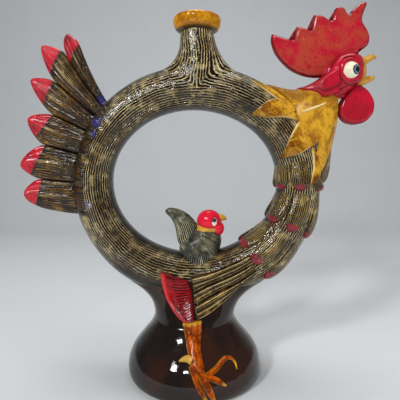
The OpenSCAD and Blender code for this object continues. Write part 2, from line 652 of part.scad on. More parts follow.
// The three toes and the curled claw beside them
toe_rows = [[[0.5, 0.57, 1.3], [2, 0.42, 1], [5, 0.25, 1], [9, 0.07, 0.4]],
  [[8.5, 0.52, 1.2], [12, 0.38, 1], [16, 0.22, 1], [20, 0.05, 0.4]],
  [[18, 0.38, 0.7], [23, 0.36, 0.9], [29, 0.27, 0.3]]];
claw_rows = [[16, 0.5, 0.7], [20, 0.52, 0.9], [26, 0.58, 0.9], [31, 0.62, 0.8], [35, 0.6, 0.7],
  [38, 0.54, 0.6], [40, 0.43, 0.3]];
module toes_right() {
  color(amber) {
    for (rows = toe_rows) bell_strip(finer(rows, 2), toe_w, toe_w * 0.6);
    bell_strip(claw_rows, toe_w, toe_w * 0.6);
  }
}
spur_rows = [[-5, 0.62, 0.9], [-9, 0.6, 0.8], [-13, 0.57, 0.3]];
module spur_right() { color(amber) bell_strip(finer(spur_rows, 2), toe_w, toe_w * 0.7); }

// The chick's body: share of its height, back and breast as shares of its length, width
chick_x = ring_shift + chick_shift;
chick_shares = [[-0.3, -0.35, 0.35, 0.8], [0, -0.48, 0.44, 0.95], [0.3, -0.5, 0.5, 1],
  [0.6, -0.46, 0.5, 0.95], [0.85, -0.3, 0.49, 0.8], [1, -0.16, 0.47, 0.66]];
chick_top = floor_z + chick_h;
module chick_form(gap) {
  translate([chick_x, 0, floor_z])
    level_loft([for (r = chick_shares)
      [r[0], r[1] - gap / chick_l, r[2] + gap / chick_l, r[3] / 2 + gap / chick_w]],
      chick_h, chick_l, chick_w, 20);
}
module chick_body() {
  color(ink) difference() {
    chick_form(0);
    ring_part(-114, -60, seat_gap);
  }
}
band_shares = [[0, -0.16, 0.47, 0.33], [0.5, -0.14, 0.48, 0.33], [1, -0.12, 0.5, 0.34]];
module chick_band_form(gap) {
  translate([chick_x, 0, chick_top])
    level_loft([for (r = band_shares)
      [r[0], r[1] - gap / chick_l, r[2] + gap / chick_l, r[3] + gap / chick_w]],
      band_h, chick_l, chick_w, 20);
}
module chick_neck_band() { color(gold) chick_band_form(0); }
// The chick's head is a ball that sits on the band
chick_head_x = chick_x + 0.19 * chick_l;
chick_head_z = chick_top + band_h + chick_head_r * 0.4;
module chick_head_form(gap) {
  translate([chick_head_x, 0, chick_head_z]) sphere(chick_head_r + gap);
}
module chick_head() {
  color(crimson) difference() {
    chick_head_form(0);
    translate([chick_head_x - chick_l, -chick_l, chick_top + band_h - chick_l])
      cube([2 * chick_l, 2 * chick_l, chick_l]);
  }
}
chick_tail_shares = [[-0.45, -0.1, 0], [-0.62, 0.4, 0], [-0.72, 1.1, 0.06], [-0.96, 1.76, -0.16],
  [-0.8, 2, -0.1], [-0.46, 1.72, -0.12], [-0.25, 1.1, 0], [-0.2, 0.6, 0], [-0.2, 0, 0]];
module chick_tail() {
  outline = [for (q = bowed(chick_tail_shares, 4)) [chick_x + q[0] * chick_l, floor_z + q[1] * chick_h]];
  color(ink) difference() {
    pad(outline, [chick_x - 0.5 * chick_l, floor_z + chick_h], chick_w * 0.4, chick_w * 0.2, 0.8);
    chick_form(seat_gap);
    ring_part(-114, -84, seat_gap);
  }
}
module chick_beak_form(gap) {
  base_r = chick_head_r * 0.35;
  translate([chick_head_x, 0, chick_head_z + base_r / 4]) rotate([0, 90, 0])
    cylinder(h = chick_head_r * 1.5 + gap, r1 = base_r * 2.4 + gap, r2 = base_r * 0.1 + gap);
}
module chick_beak() {
  color(gold) difference() {
    chick_beak_form(0);
    chick_head_form(seat_gap);
  }
}
module chick_wattle() {
  drop = chick_head_r * 0.65;
  color(crimson) difference() {
    translate([chick_head_x + chick_head_r * 0.85, 0, chick_head_z - chick_head_r * 0.75])
      scale([0.7, 0.5, 1.1]) sphere(drop, $fn = 16);
    chick_head_form(seat_gap);
    chick_beak_form(seat_gap);
    chick_form(seat_gap);
    chick_band_form(2 * seat_gap);
  }
}
module chick_eyes() {
  eye = [chick_head_r * 0.35, -chick_head_r * 0.9, chick_head_r * 0.2];
  color(ink) for (side = [0, 1]) mirror([0, side, 0]) difference() {
    translate([chick_head_x, 0, chick_head_z] + eye) sphere(chick_head_r * 0.2);
    chick_head_form(seat_gap / 2);
  }
}

ring_body();
ring_saddle();
pedestal();
neck();
mouth_collar();
tail_feather_1();
tail_feather_2();
tail_feather_3();
tail_feather_4();
tail_feather_5();
tail_feather_6();
bird_neck();
head();
nape();
comb();
upper_beak();
lower_beak();
eyeball_right();
mirror([0, 1, 0]) eyeball_right();  // eyeball_left
pupil_right();
mirror([0, 1, 0]) pupil_right();  // pupil_left
eyelid_right();
mirror([0, 1, 0]) eyelid_right();  // eyelid_left
cheek_folds_right();
mirror([0, 1, 0]) cheek_folds_right();  // cheek_folds_left
wattle_right();
mirror([0, 1, 0]) wattle_right();  // wattle_left
hackle_crest_right();
mirror([0, 1, 0]) hackle_crest_right();  // hackle_crest_left
hackle_side_right();
mirror([0, 1, 0]) hackle_side_right();  // hackle_side_left
hackle_breast_right();
mirror([0, 1, 0]) hackle_breast_right();  // hackle_breast_left
hackle_throat_right();
mirror([0, 1, 0]) hackle_throat_right();  // hackle_throat_left
breast_feathers_upper();
breast_feathers_middle();
breast_feathers_lower();
wing_shoulder_right();
mirror([0, 1, 0]) wing_shoulder_right();  // wing_shoulder_left
flight_feathers_right();
mirror([0, 1, 0]) flight_feathers_right();  // flight_feathers_left
shank_right();
mirror([0, 1, 0]) shank_right();  // shank_left
toes_right();
mirror([0, 1, 0]) toes_right();  // toes_left
spur_right();
mirror([0, 1, 0]) spur_right();  // spur_left
chick_body();
chick_neck_band();
chick_head();
chick_tail();
chick_beak();
chick_wattle();
chick_eyes();
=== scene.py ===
import bpy
import numpy as np
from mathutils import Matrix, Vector


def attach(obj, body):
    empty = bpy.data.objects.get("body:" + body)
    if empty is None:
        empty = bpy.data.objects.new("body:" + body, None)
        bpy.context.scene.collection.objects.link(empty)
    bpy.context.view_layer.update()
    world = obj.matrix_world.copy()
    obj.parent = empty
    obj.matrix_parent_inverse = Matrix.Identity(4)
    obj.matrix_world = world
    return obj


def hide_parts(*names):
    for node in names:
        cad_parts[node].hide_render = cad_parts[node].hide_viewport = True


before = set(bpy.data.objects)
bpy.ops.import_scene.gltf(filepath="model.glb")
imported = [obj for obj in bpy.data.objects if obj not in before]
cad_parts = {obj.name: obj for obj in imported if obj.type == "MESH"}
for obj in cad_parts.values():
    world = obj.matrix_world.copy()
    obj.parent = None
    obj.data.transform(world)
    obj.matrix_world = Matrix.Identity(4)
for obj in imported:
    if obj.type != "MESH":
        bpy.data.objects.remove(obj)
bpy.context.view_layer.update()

# Glazed ring jug with a rooster's head and tail, and a chick in the ring's eye.
# Shapes are worked out in millimetres and put into the meshes in metres.

ring = {"radius": 122.5, "up": 116.0, "shift": 3.0, "depth": 46.0, "eyeWidth": 163.6, "eyeHeight": 142.0,
        "eyeShift": -2.3, "eyeRise": 2.5, "lift": 17.5, "stepsRound": 420, "stepsTube": 168,
        # distance between combed lines, and how far round the tube those of the neck run
        "pitch": 2.5, "flowAngle": 98.0,
        # blue dabs: X, Z and radius
        "blue": [[-89.5, 276.3, 3.6], [-91.5, 254.0, 3.6], [-94.0, 243.0, 2.4], [-100.5, 176.0, 2.6]],
        # dark patches, the one at 62 painted shade between the neck and the crest leaf: direction, reach,
        # strength, and between which shares outwards they come in
        "patches": [[118, 20, 0.85, 0.4, 0.8], [228, 24, 0.85, 0.2, 0.65], [62, 9, 0.6, 0.0, 0.5]],
        # dark seams, the one at 165 painted shade where the tail's roots meet the ring: direction, where
        # they end and are full to each side, then as above
        "seamsAndShade": [[165, 34, 26, 0.85, 0.1, 0.5], [266, 46, 30, 0.9, -0.1, 0.45]]}
pedestal = {"height": 60.0, "footRadius": 68.0, "waistRadius": 41.0, "wall": 6.0, "sides": 180,
            # radius and height of the cap over the waist
            "cap": [[2.0, 66.0], [30.0, 66.0], [37.0, 64.0]],
            # share of the height, share of the way from the waist's radius to the foot's
            "keys": [[0, 0.87], [0.04, 0.95], [0.12, 1], [0.22, 1], [0.33, 0.95], [0.47, 0.81],
                     [0.6, 0.6], [0.72, 0.38], [0.83, 0.19], [0.93, 0.06], [1, 0]]}
ringZ = pedestal["height"] + ring["lift"] + ring["up"]
crownZ = ringZ + ring["up"]
floorZ = ringZ + ring["eyeRise"] - ring["eyeHeight"] / 2


# Shapes

def rad(degrees):
    return np.radians(degrees)


def smooth(x, low, high):
    # Cubic step from 0 at low to 1 at high
    s = np.clip((x - low) / (high - low), 0, 1)
    return s * s * (3 - 2 * s)


def column(count):
    # Shares from 0 to 1 down the rows of a grid
    return np.linspace(0, 1, count)[:, None]


def easedRow(count):
    # Shares from 0 to 1 along the columns, closer together near both ends
    return 0.5 - 0.5 * np.cos(np.linspace(0, np.pi, count))[None, :]


def fullTurn(count):
    # Angles of one turn along the columns
    return rad(np.linspace(0, 360, count, endpoint=False))[None, :]


def curveThrough(keys, count):
    # Catmull-Rom curve: count places through the rows of keys, each span a cubic of its neighbours
    k = np.asarray(keys, float)
    u = np.linspace(0, len(k) - 1, count)
    i = np.clip(u.astype(int), 0, len(k) - 2)
    f = (u - i)[:, None]
    before, a, b, after = k[np.maximum(i - 1, 0)], k[i], k[i + 1], k[np.minimum(i + 2, len(k) - 1)]
    return 0.5 * (2 * a + (b - before) * f + (2 * before - 5 * a + 4 * b - after) * f ** 2
                  + (3 * a - before - 3 * b + after) * f ** 3)


def columnsThrough(keys, count):
    # The same curve as one upright column for each value of its keys
    return curveThrough(keys, count).T[..., None]


def ripple(points, size, amount):
    # A soft hand-made unevenness: the sum of three sine waves that run in different directions
    x, y, z = points[..., 0] / size, points[..., 1] / size, points[..., 2] / size
    return amount * (np.sin(x + 1.7 * y + 0.4) + np.sin(1.3 * z - 0.8 * x + 2.1)
                     + np.sin(1.9 * y + 1.1 * z + 4.0)) / 3


def wrapped(grid):
    # The first column once more after the last
    return np.concatenate([grid, grid[:, :1]], 1)


def bothFaces(front, back):
    # Columns of the right face, then those of the left face back to the start
    return np.concatenate([front, back[:, -2:0:-1]], 1)


def around(row):
    # Shares across one face, repeated back over the other as far as the first column
    return wrapped(bothFaces(row, row))


def ovals(middle, length, width, z, sides):
    # Level ovals of these half lengths and half widths, one above the other
    a = fullTurn(sides)
    return np.stack(np.broadcast_arrays(middle + length * np.cos(a), -width * np.sin(a), z + 0 * a), -1)


def levelOvals(keys, base, height, length, width, middle, rows, sides):
    # Level ovals whose back, breast and width follow curves over the height
    high, back, front, wide = columnsThrough(keys, rows)
    return ovals(middle + (back + front) / 2 * length, (front - back) / 2 * length, wide / 2 * width,
                 base + high * height, sides)


def addPiece(name, grid, fields=None, meetAgain=False):
    # Quads join each row of the grid to the next and each column to the next. The columns meet
    # again, and either the rows do too or a fan from its middle closes each end row. Fields are
    # kept on the face corners, so a count of lines may jump where the columns meet.
    rows, cols = grid.shape[:2]
    i = np.arange(rows if meetAgain else rows - 1)[:, None]
    j = np.arange(cols)[None, :]
    down = (i + 1) % rows
    quads = np.stack([i * cols + j, i * cols + (j + 1) % cols,
                      down * cols + (j + 1) % cols, down * cols + j], -1).reshape(-1, 4)
    wide = cols + 1
    corners = np.stack([i * wide + j, i * wide + j + 1,
                        (i + 1) * wide + j + 1, (i + 1) * wide + j], -1).reshape(-1, 4)
    points = grid.reshape(-1, 3)
    fans = np.zeros((0, 3), int)
    fanCorners = np.zeros((0, 3), int)
    if not meetAgain:
        points = np.vstack([points, grid[0].mean(0), grid[-1].mean(0)])
        j = np.arange(cols)
        n = rows * cols
        lastRow, lastWide = (rows - 1) * cols, (rows - 1) * wide
        fans = np.vstack([np.stack([np.full(cols, n), (j + 1) % cols, j], -1),
                          np.stack([np.full(cols, n + 1), lastRow + j, lastRow + (j + 1) % cols], -1)])
        fanCorners = np.vstack([np.stack([j, j + 1, j], -1),
                                np.stack([lastWide + j, lastWide + j, lastWide + j + 1], -1)])
    a, b, c, d = (points[quads[:, k]] for k in range(4))
    volume = np.einsum("ij,ij", a, np.cross(b, c)) + np.einsum("ij,ij", a, np.cross(c, d))
    e, f, g = (points[fans[:, k]] for k in range(3))
    volume += np.einsum("ij,ij", e, np.cross(f, g))
    if volume < 0:  # the faces are turned to point outwards
        quads, corners = quads[:, ::-1], corners[:, ::-1]
        fans, fanCorners = fans[:, ::-1], fanCorners[:, ::-1]
    mesh = bpy.data.meshes.new(name)
    mesh.from_pydata((points * 0.001).tolist(), [], quads.tolist() + fans.tolist())
    order = np.concatenate([corners.ravel(), fanCorners.ravel()])
    for field, values in (fields or {}).items():
        values = np.broadcast_to(values, (rows + (1 if meetAgain else 0), wide)).ravel()[order]
        mesh.attributes.new(field, "FLOAT", "CORNER").data.foreach_set("value", values.astype(np.float32))
    mesh.polygons.foreach_set("use_smooth", np.full(len(mesh.polygons), True))
    mesh.update()
    piece = bpy.data.objects.new(name, mesh)
    bpy.context.scene.collection.objects.link(piece)
    return piece


def place(piece, material, slot, *nodes):
    piece.data.materials.clear()
    piece.data.materials.append(material)
    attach(piece, "root")
    if nodes:
        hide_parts(*nodes)


def joinPieces(pieces, name, material, slot, *nodes):
    # Several closed surfaces made one piece
    bpy.ops.object.select_all(action="DESELECT")
    for piece in pieces:
        piece.select_set(True)
    bpy.context.view_layer.objects.active = pieces[0]
    bpy.ops.object.join()
    pieces[0].name = pieces[0].data.name = name
    place(pieces[0], material, slot, *nodes)


def mirrored(grid):
    return grid * np.array([1.0, -1.0, 1.0])


# Both sides of the jug: how names end, and what a shape made for the right side becomes there.
# The left side repeats the right one.
bothSides = (("Right", np.asarray), ("Left", mirrored))
acrossWay = np.array([0, 1.0, 0])


def eyeEdge(t):
    # Distance from the ring's middle to the eye's ellipse in the direction t
    a, b = ring["eyeWidth"] / 2, ring["eyeHeight"] / 2
    c, s = np.cos(rad(t)), np.sin(rad(t))
    p = (c / a) ** 2 + (s / b) ** 2
    q = c * ring["eyeShift"] / a ** 2 + s * ring["eyeRise"] / b ** 2
    k = (ring["eyeShift"] / a) ** 2 + (ring["eyeRise"] / b) ** 2 - 1
    return (q + np.sqrt(q * q - p * k)) / p


def ringEdge(t):
    # Radius of the ring's outer oval in the direction t
    return 1 / np.hypot(np.cos(rad(t)) / ring["radius"], np.sin(rad(t)) / ring["up"])


def ringPoint(t, p, h=0.0):
    # The ring's skin: t turns round the ring, p round its tube (0 outside, 90 on the right face,
    # 180 in the eye), and h raises it
    t, p, h = np.broadcast_arrays(np.asarray(t, float), np.asarray(p, float), np.asarray(h, float))
    inner, outer = eyeEdge(t), ringEdge(t)
    r = (outer + inner) / 2 + ((outer - inner) / 2 + h) * np.cos(rad(p))
    return np.stack([ring["shift"] + r * np.cos(rad(t)), -(ring["depth"] / 2 + h) * np.sin(rad(p)),
                     ringZ + r * np.sin(rad(t))], -1)


def pathTube(path, normal, across, up, sides, lift=0.0):
    # An oval section carried along a path: across lies level with the surface, up points out of it
    tangent = np.gradient(path, axis=0)
    tangent /= np.linalg.norm(tangent, axis=1)[:, None]
    side = np.cross(tangent, normal)
    side /= np.linalg.norm(side, axis=1)[:, None]
    out = np.cross(side, tangent)
    a = np.linspace(0, 2 * np.pi, sides, endpoint=False)
    return (path[:, None] + side[:, None] * (np.cos(a)[None, :, None] * np.asarray(across)[:, None, None])
            + out[:, None] * ((np.sin(a)[None, :] * np.asarray(up)[:, None])[..., None] + lift))


def sheetLoops(lower, upper, thickness, across, openStart=False):
    # A flat leaf in the X-Z plane: rows between two edge curves, pushed off the middle plane by
    # half its thickness, which follows the way along, the way across, the gap to the outline and
    # the place
    v = easedRow(across)
    flat = lower[:, None] + (upper - lower)[:, None] * v[..., None]
    outline = np.concatenate([lower, upper, flat[-1]] + ([] if openStart else [flat[0]]))
    gap = np.min(np.hypot(flat[..., None, 0] - outline[:, 0], flat[..., None, 1] - outline[:, 1]), -1)
    t = thickness(column(len(lower)), v, gap, flat)
    x, z = (bothFaces(flat[..., k], flat[..., k]) for k in (0, 1))
    return np.stack([x, bothFaces(-t, t), z], -1), around(v), around(gap)


def roundEdge(distance, radius):
    # A quarter circle that rises from an edge
    return np.sqrt(1 - (1 - np.clip(distance / radius, 0, 1)) ** 2)


def rims(share, radius):
    # Round edges at both ends of a way from 0 to 1
    return roundEdge(np.minimum(share, 1 - share), radius)


def hump(away, width):
    # A bell curve: 1 in its middle, and about a third at its width
    return np.exp(-(away / width) ** 2)


# Glazes

def rgb(r, g, b):
    # A colour picked on a screen, made linear
    c = np.array([r, g, b]) / 255
    return tuple(np.where(c <= 0.04045, c / 12.92, ((c + 0.055) / 1.055) ** 2.4)) + (1.0,)


def feed(socket, value):
    # A link where the value is another socket, otherwise a constant
    if isinstance(value, bpy.types.NodeSocket):
        socket.id_data.links.new(value, socket)
    else:
        socket.default_value = value


def addNode(tree, kind, settings=None, **inputs):
    node = tree.nodes.new(kind)
    for key, value in (settings or {}).items():
        setattr(node, key, value)
    for key, value in inputs.items():
        feed(node.inputs[key.replace("_", " ")], value)
    return node


def treeOf(values):
    # The node tree that the sockets among these values belong to
    return next(value.id_data for value in values if isinstance(value, bpy.types.NodeSocket))


def maths(operation, *values):
    node = addNode(treeOf(values), "ShaderNodeMath", {"operation": operation})
    for socket, value in zip(node.inputs, values):
        feed(socket, value)
    return node.outputs[0]


def plus(a, b):
    return maths("ADD", a, b)


def less(a, b):
    return maths("SUBTRACT", a, b)


def times(a, b):
    return maths("MULTIPLY", a, b)


def timesPlus(a, b, c):
    return maths("MULTIPLY_ADD", a, b, c)


def mixColour(factor, a, b):
    node = addNode(treeOf((factor, a, b)), "ShaderNodeMix", {"data_type": "RGBA"})
    for number, value in ((0, factor), (6, a), (7, b)):  # the sockets of a mix of colours
        feed(node.inputs[number], value)
    return node.outputs[2]


def stepUp(value, low, high, toLow=0.0, toHigh=1.0):
    node = addNode(value.id_data, "ShaderNodeMapRange", {"interpolation_type": "SMOOTHSTEP"}, Value=value,
                   From_Min=low, From_Max=high, To_Min=toLow, To_Max=toHigh)
    return node.outputs["Result"]


def noise(where, scale, detail=3.0, rough=0.55, distortion=0.0):
    node = addNode(where.id_data, "ShaderNodeTexNoise", Vector=where, Scale=scale, Detail=detail,
                   Roughness=rough, Distortion=distortion)
    return node.outputs[0]


def newGroup(name, inputs, outputs):
    # A shared effect, with the sockets where its inputs come in and its outputs go out
    group = bpy.data.node_groups.new(name, "ShaderNodeTree")
    for label, value in inputs.items():
        kind = "NodeSocketColor" if isinstance(value, tuple) else "NodeSocketFloat"
        group.interface.new_socket(name=label, in_out="INPUT", socket_type=kind).default_value = value
    for label in outputs:
        kind = "NodeSocketColor" if label == "Color" else "NodeSocketFloat"
        group.interface.new_socket(name=label, in_out="OUTPUT", socket_type=kind)
    return group, group.nodes.new("NodeGroupInput").outputs, group.nodes.new("NodeGroupOutput").inputs


def place3d(tree):
    return tree.nodes.new("ShaderNodeTexCoord").outputs["Object"]


def makeCombing():
    # Lines scratched with a comb: a count of lines is shaken by noise, and the part of it after
    # the point makes a groove. Some grooves fade where the comb was lifted.
    group, given, put = newGroup("combing", {"Count": 0.0, "Shake": 0.7, "Width": 0.5, "Fade": 0.35},
                                 ["Groove", "Height", "Tone"])
    where = place3d(group)
    fine = times(noise(where, 420.0, 2.0), times(given["Shake"], 0.45))
    shake = timesPlus(noise(where, 55.0), given["Shake"], fine)
    count = plus(given["Count"], times(shake, 2.0))
    wave = maths("ABSOLUTE", timesPlus(maths("FRACT", count), 2.0, -1.0))
    edge = stepUp(wave, less(given["Width"], 0.2), plus(given["Width"], 0.16), 1.0, 0.0)
    fade = stepUp(noise(where, 140.0, 2.0), 0.34, 0.5)
    groove = times(edge, less(1.0, times(given["Fade"], less(1.0, fade))))
    feed(put["Groove"], groove)
    feed(put["Height"], less(1.0, groove))
    each = addNode(group, "ShaderNodeTexWhiteNoise", {"noise_dimensions": "1D"}, W=maths("FLOOR", count))
    patch = stepUp(noise(where, 60.0, 3.0, 0.6), 0.35, 0.65)
    feed(put["Tone"], timesPlus(each.outputs["Value"], 0.5, times(patch, 0.5)))
    return group


def makeMottle():
    # Three glaze colours that run into each other in clouds, with small specks of the third
    group, given, put = newGroup("mottle", {"Main": (0.5, 0.5, 0.5, 1), "Cloud": (0.4, 0.3, 0.2, 1),
                                            "Speck": (0.1, 0.1, 0.1, 1), "Size": 60.0, "Amount": 0.5,
                                            "Specks": 0.3}, ["Color"])
    where = place3d(group)
    broad = noise(where, given["Size"], 4.0, 0.6, 0.6)
    cloud = stepUp(timesPlus(less(noise(where, 520.0, 3.0, 0.65), 0.5), 0.35, broad), 0.4, 0.62)
    speck = times(stepUp(noise(where, 330.0, 2.0, 0.7), 0.56, 0.72), given["Specks"])
    clouded = mixColour(times(cloud, given["Amount"]), given["Main"], given["Cloud"])
    feed(put["Color"], mixColour(speck, clouded, given["Speck"]))
    return group


def makeGlazeSkin():
    # Height of the melted glaze, slow waves and the dimples of an orange, and where it is duller
    group, given, put = newGroup("glazeSkin", {"Waves": 0.5, "Dimples": 0.2}, ["Height", "Dull"])
    where = place3d(group)
    dimples = times(noise(where, 620.0, 2.0), given["Dimples"])
    feed(put["Height"], plus(times(noise(where, 75.0, 2.0), given["Waves"]), dimples))
    feed(put["Dull"], stepUp(noise(where, 36.0, 4.0, 0.65), 0.35, 0.7))
    return group


combing, mottle, glazeSkin = makeCombing(), makeMottle(), makeGlazeSkin()


def grouped(tree, group, **inputs):
    return addNode(tree, "ShaderNodeGroup", {"node_tree": group}, **inputs).outputs


def field(tree, name):
    return addNode(tree, "ShaderNodeAttribute", {"attribute_name": name}).outputs["Fac"]


def newMaterial(name, gloss):
    material = bpy.data.materials.new(name)
    material.use_nodes = True
    tree = material.node_tree
    shader = tree.nodes["Principled BSDF"]
    shader.inputs["Specular IOR Level"].default_value = gloss
    return material, tree, shader


def finishGlaze(tree, shader, colour, height, rough, dull, bumpHeight, strength):
    feed(shader.inputs["Base Color"], colour)
    feed(shader.inputs["Roughness"], stepUp(dull, 0.0, 1.0, rough[0], rough[1]))
    bump = addNode(tree, "ShaderNodeBump", Strength=strength, Distance=bumpHeight, Height=height)
    feed(shader.inputs["Normal"], bump.outputs[0])


combedLook = {"bright": rgb(226, 212, 172), "ridgeSpeck": rgb(70, 64, 48),
              "groove": rgb(8, 7, 6), "grooveCloud": rgb(24, 17, 10), "blue": rgb(40, 52, 138),
              # the shade band's colour and strengths: painted shade just before the tips
              "giltAndHighlight": rgb(244, 208, 128), "blush": rgb(206, 52, 54), "shadeBand": rgb(24, 28, 22),
              "shadeBandStrength": {"tail": 0.75, "breast": 0.2, "shawl": 0.55}}
tipRed = {"tail": (rgb(190, 18, 38), rgb(104, 14, 26)), "breast": (rgb(138, 32, 42), rgb(84, 28, 30)),
          "shawl": (rgb(214, 160, 44), rgb(116, 58, 6))}


def combedGlaze(name, ridge, ridgeCloud, width, tips=None, shake=0.7, depth=0.0009, gloss=0.5,
                rough=(0.05, 0.17), bright=combedLook["bright"]):
    # Combed clay under one clear glaze: light ridges, each of its own tone, and dark grooves. Its
    # fields darken it with dark glaze and painted shade where "darkAndShade", fill the grooves where
    # "filled", colour it where "giltAndHighlight", "blue" or "blush", and change it to the tip's colours
    # where "tip" is high, after a band of painted shade.
    material, tree, shader = newMaterial(name, gloss)
    where = place3d(tree)
    lines = grouped(tree, combing, Count=field(tree, "lines"), Shake=shake, Width=width)
    light = grouped(tree, mottle, Main=ridge, Cloud=ridgeCloud, Speck=combedLook["ridgeSpeck"], Size=28.0,
                    Amount=0.8, Specks=0.35)
    dark = grouped(tree, mottle, Main=combedLook["groove"], Cloud=combedLook["grooveCloud"],
                   Speck=combedLook["groove"], Size=45.0, Amount=0.8, Specks=0.2)["Color"]
    # dark glaze and painted shade, wherever a piece's field asks for it
    darkAndShade = field(tree, "darkAndShade")
    ridges = mixColour(stepUp(lines["Tone"], 0.55, 0.95, 0.0, 0.8), light["Color"], bright)
    ridges = mixColour(stepUp(lines["Tone"], 0.4, 0.1, 0.0, 0.6), ridges, dark)
    kept = less(1.0, field(tree, "filled"))
    groove = maths("MAXIMUM", times(lines["Groove"], kept), times(darkAndShade, 0.94))
    colour = mixColour(groove, ridges, dark)
    colour = mixColour(stepUp(noise(where, 21.0, 4.0, 0.6, 0.8), 0.48, 0.7, 0.0, 0.45), colour, dark)
    # gold lines, some of them painted highlights along ridges
    giltAndHighlight = times(field(tree, "giltAndHighlight"), stepUp(noise(where, 190.0), 0.34, 0.52, 0.4, 1.0))
    colour = mixColour(giltAndHighlight, colour, combedLook["giltAndHighlight"])
    for tint in ("blue", "blush"):
        colour = mixColour(field(tree, tint), colour, combedLook[tint])
    height = times(times(lines["Height"], kept), less(1.0, darkAndShade))
    if tips:
        red = grouped(tree, mottle, Main=tipRed[tips][0], Cloud=tipRed[tips][1],
                      Speck=combedLook["grooveCloud"], Size=60.0, Amount=0.7, Specks=0.35)
        tip = plus(field(tree, "tip"), times(noise(where, 260.0), 2.4))
        # a band of painted shade just before the tip's colours
        shadeBand = stepUp(tip, -3.4, 0.4, 0.0, combedLook["shadeBandStrength"][tips])
        colour = mixColour(shadeBand, colour, combedLook["shadeBand"])
        tip = stepUp(tip, 0.9, 1.8)
        colour = mixColour(tip, colour, red["Color"])
        height = times(height, less(1.0, times(tip, 0.8)))
    skin = grouped(tree, glazeSkin, Waves=0.6, Dimples=0.3)
    finishGlaze(tree, shader, colour, plus(height, skin["Height"]), rough, skin["Dull"], depth, 0.85)
    return material


def plainGlaze(name, main, cloud, speck, size, amount, specks, waves=0.5, dimples=0.25, gloss=0.34,
               rough=(0.06, 0.16), depth=0.0005, edgeColour=None, creaseColour=None):
    # One mottled glaze. A field "edge" may lighten rims, and a field "crease" darkens hollows.
    material, tree, shader = newMaterial(name, gloss)
    colour = grouped(tree, mottle, Main=main, Cloud=cloud, Speck=speck, Size=size, Amount=amount,
                     Specks=specks)["Color"]
    for mark, tint in (("edge", edgeColour), ("crease", creaseColour)):
        if tint:
            colour = mixColour(field(tree, mark), colour, tint)
    skin = grouped(tree, glazeSkin, Waves=waves, Dimples=dimples)
    finishGlaze(tree, shader, colour, skin["Height"], rough, skin["Dull"], depth, 0.6)
    return material


ringGlaze = combedGlaze("combedClay", rgb(228, 204, 140), rgb(146, 112, 60), 0.77, depth=0.0011,
                        gloss=0.5, bright=rgb(252, 238, 192))
tailGlaze = combedGlaze("combedTail", rgb(150, 102, 32), rgb(66, 42, 18), 0.74, "tail", gloss=0.45,
                        bright=rgb(216, 176, 88))
breastGlaze = combedGlaze("combedBreast", rgb(168, 140, 78), rgb(112, 76, 26), 0.64, "breast",
                          bright=rgb(232, 210, 146))
shawlGlaze = combedGlaze("combedShawl", rgb(158, 138, 92), rgb(116, 82, 38), 0.55, "shawl", gloss=0.22)
flightGlaze = combedGlaze("combedFlight", rgb(134, 90, 30), rgb(30, 18, 8), 0.82, depth=0.0012,
                          gloss=0.34, bright=rgb(238, 206, 118))
chickGlaze = combedGlaze("combedChick", rgb(172, 166, 128), rgb(56, 70, 76), 0.62, gloss=0.45,
                         rough=(0.1, 0.24), bright=rgb(240, 236, 204))
darkGlaze = plainGlaze("darkGlaze", rgb(24, 17, 14), rgb(52, 27, 16), rgb(15, 13, 13), 20.0, 0.8, 0.3,
                       waves=0.7, dimples=0.12, gloss=0.45, rough=(0.04, 0.1), depth=0.0006)
# cream rims and raised line: cream glaze, partly painted highlight
goldGlaze = plainGlaze("goldGlaze", rgb(214, 160, 44), rgb(116, 58, 6), rgb(74, 38, 10), 50.0, 0.95, 0.6,
                       gloss=0.24, edgeColour=rgb(232, 206, 140), creaseColour=rgb(84, 44, 12))
collarGlaze = plainGlaze("collarGlaze", rgb(206, 142, 20), rgb(148, 86, 8), rgb(92, 62, 20), 80.0, 0.85,
                         0.6, edgeColour=rgb(70, 56, 26))
redGlaze = plainGlaze("redGlaze", rgb(190, 22, 48), rgb(146, 24, 34), rgb(112, 16, 30), 42.0, 0.7, 0.5,
                      0.9, 0.4, edgeColour=rgb(112, 14, 28), creaseColour=rgb(84, 8, 20))
combRed = plainGlaze("combRed", rgb(184, 24, 46), rgb(172, 80, 48), rgb(112, 16, 28), 40.0, 0.6, 0.6,
                     0.9, 0.4, gloss=0.45, edgeColour=rgb(116, 14, 28))
chickRed = plainGlaze("chickRed", rgb(226, 26, 52), rgb(204, 36, 60), rgb(150, 18, 34), 90.0, 0.6, 0.25,
                      edgeColour=rgb(238, 232, 224), creaseColour=rgb(20, 16, 18))
amberGlaze = plainGlaze("amberGlaze", rgb(186, 80, 0), rgb(98, 28, 0), rgb(228, 170, 40), 110.0, 0.85,
                        0.4, gloss=0.18, edgeColour=rgb(214, 162, 44), creaseColour=rgb(66, 22, 6))
beakGlaze = plainGlaze("beakGlaze", rgb(214, 164, 66), rgb(168, 112, 34), rgb(120, 78, 28), 150.0, 0.6,
                       0.3)
whiteGlaze = plainGlaze("whiteGlaze", rgb(238, 232, 208), rgb(224, 212, 176), rgb(196, 176, 132), 120.0,
                        0.5, 0.15, 0.2, 0.1, edgeColour=rgb(120, 60, 40))
pupilGlaze = plainGlaze("pupilGlaze", rgb(22, 22, 26), rgb(34, 34, 40), rgb(14, 14, 16), 200.0, 0.5, 0.2,
                        0.2, 0.1, edgeColour=rgb(112, 126, 140))
wingGlaze = combedGlaze("combedWing", rgb(144, 15, 24), rgb(96, 11, 18), 0.36, shake=0.3, depth=0.0006,
                        gloss=0.2, bright=rgb(168, 24, 32))
print("glazes mixed")


# Vessel

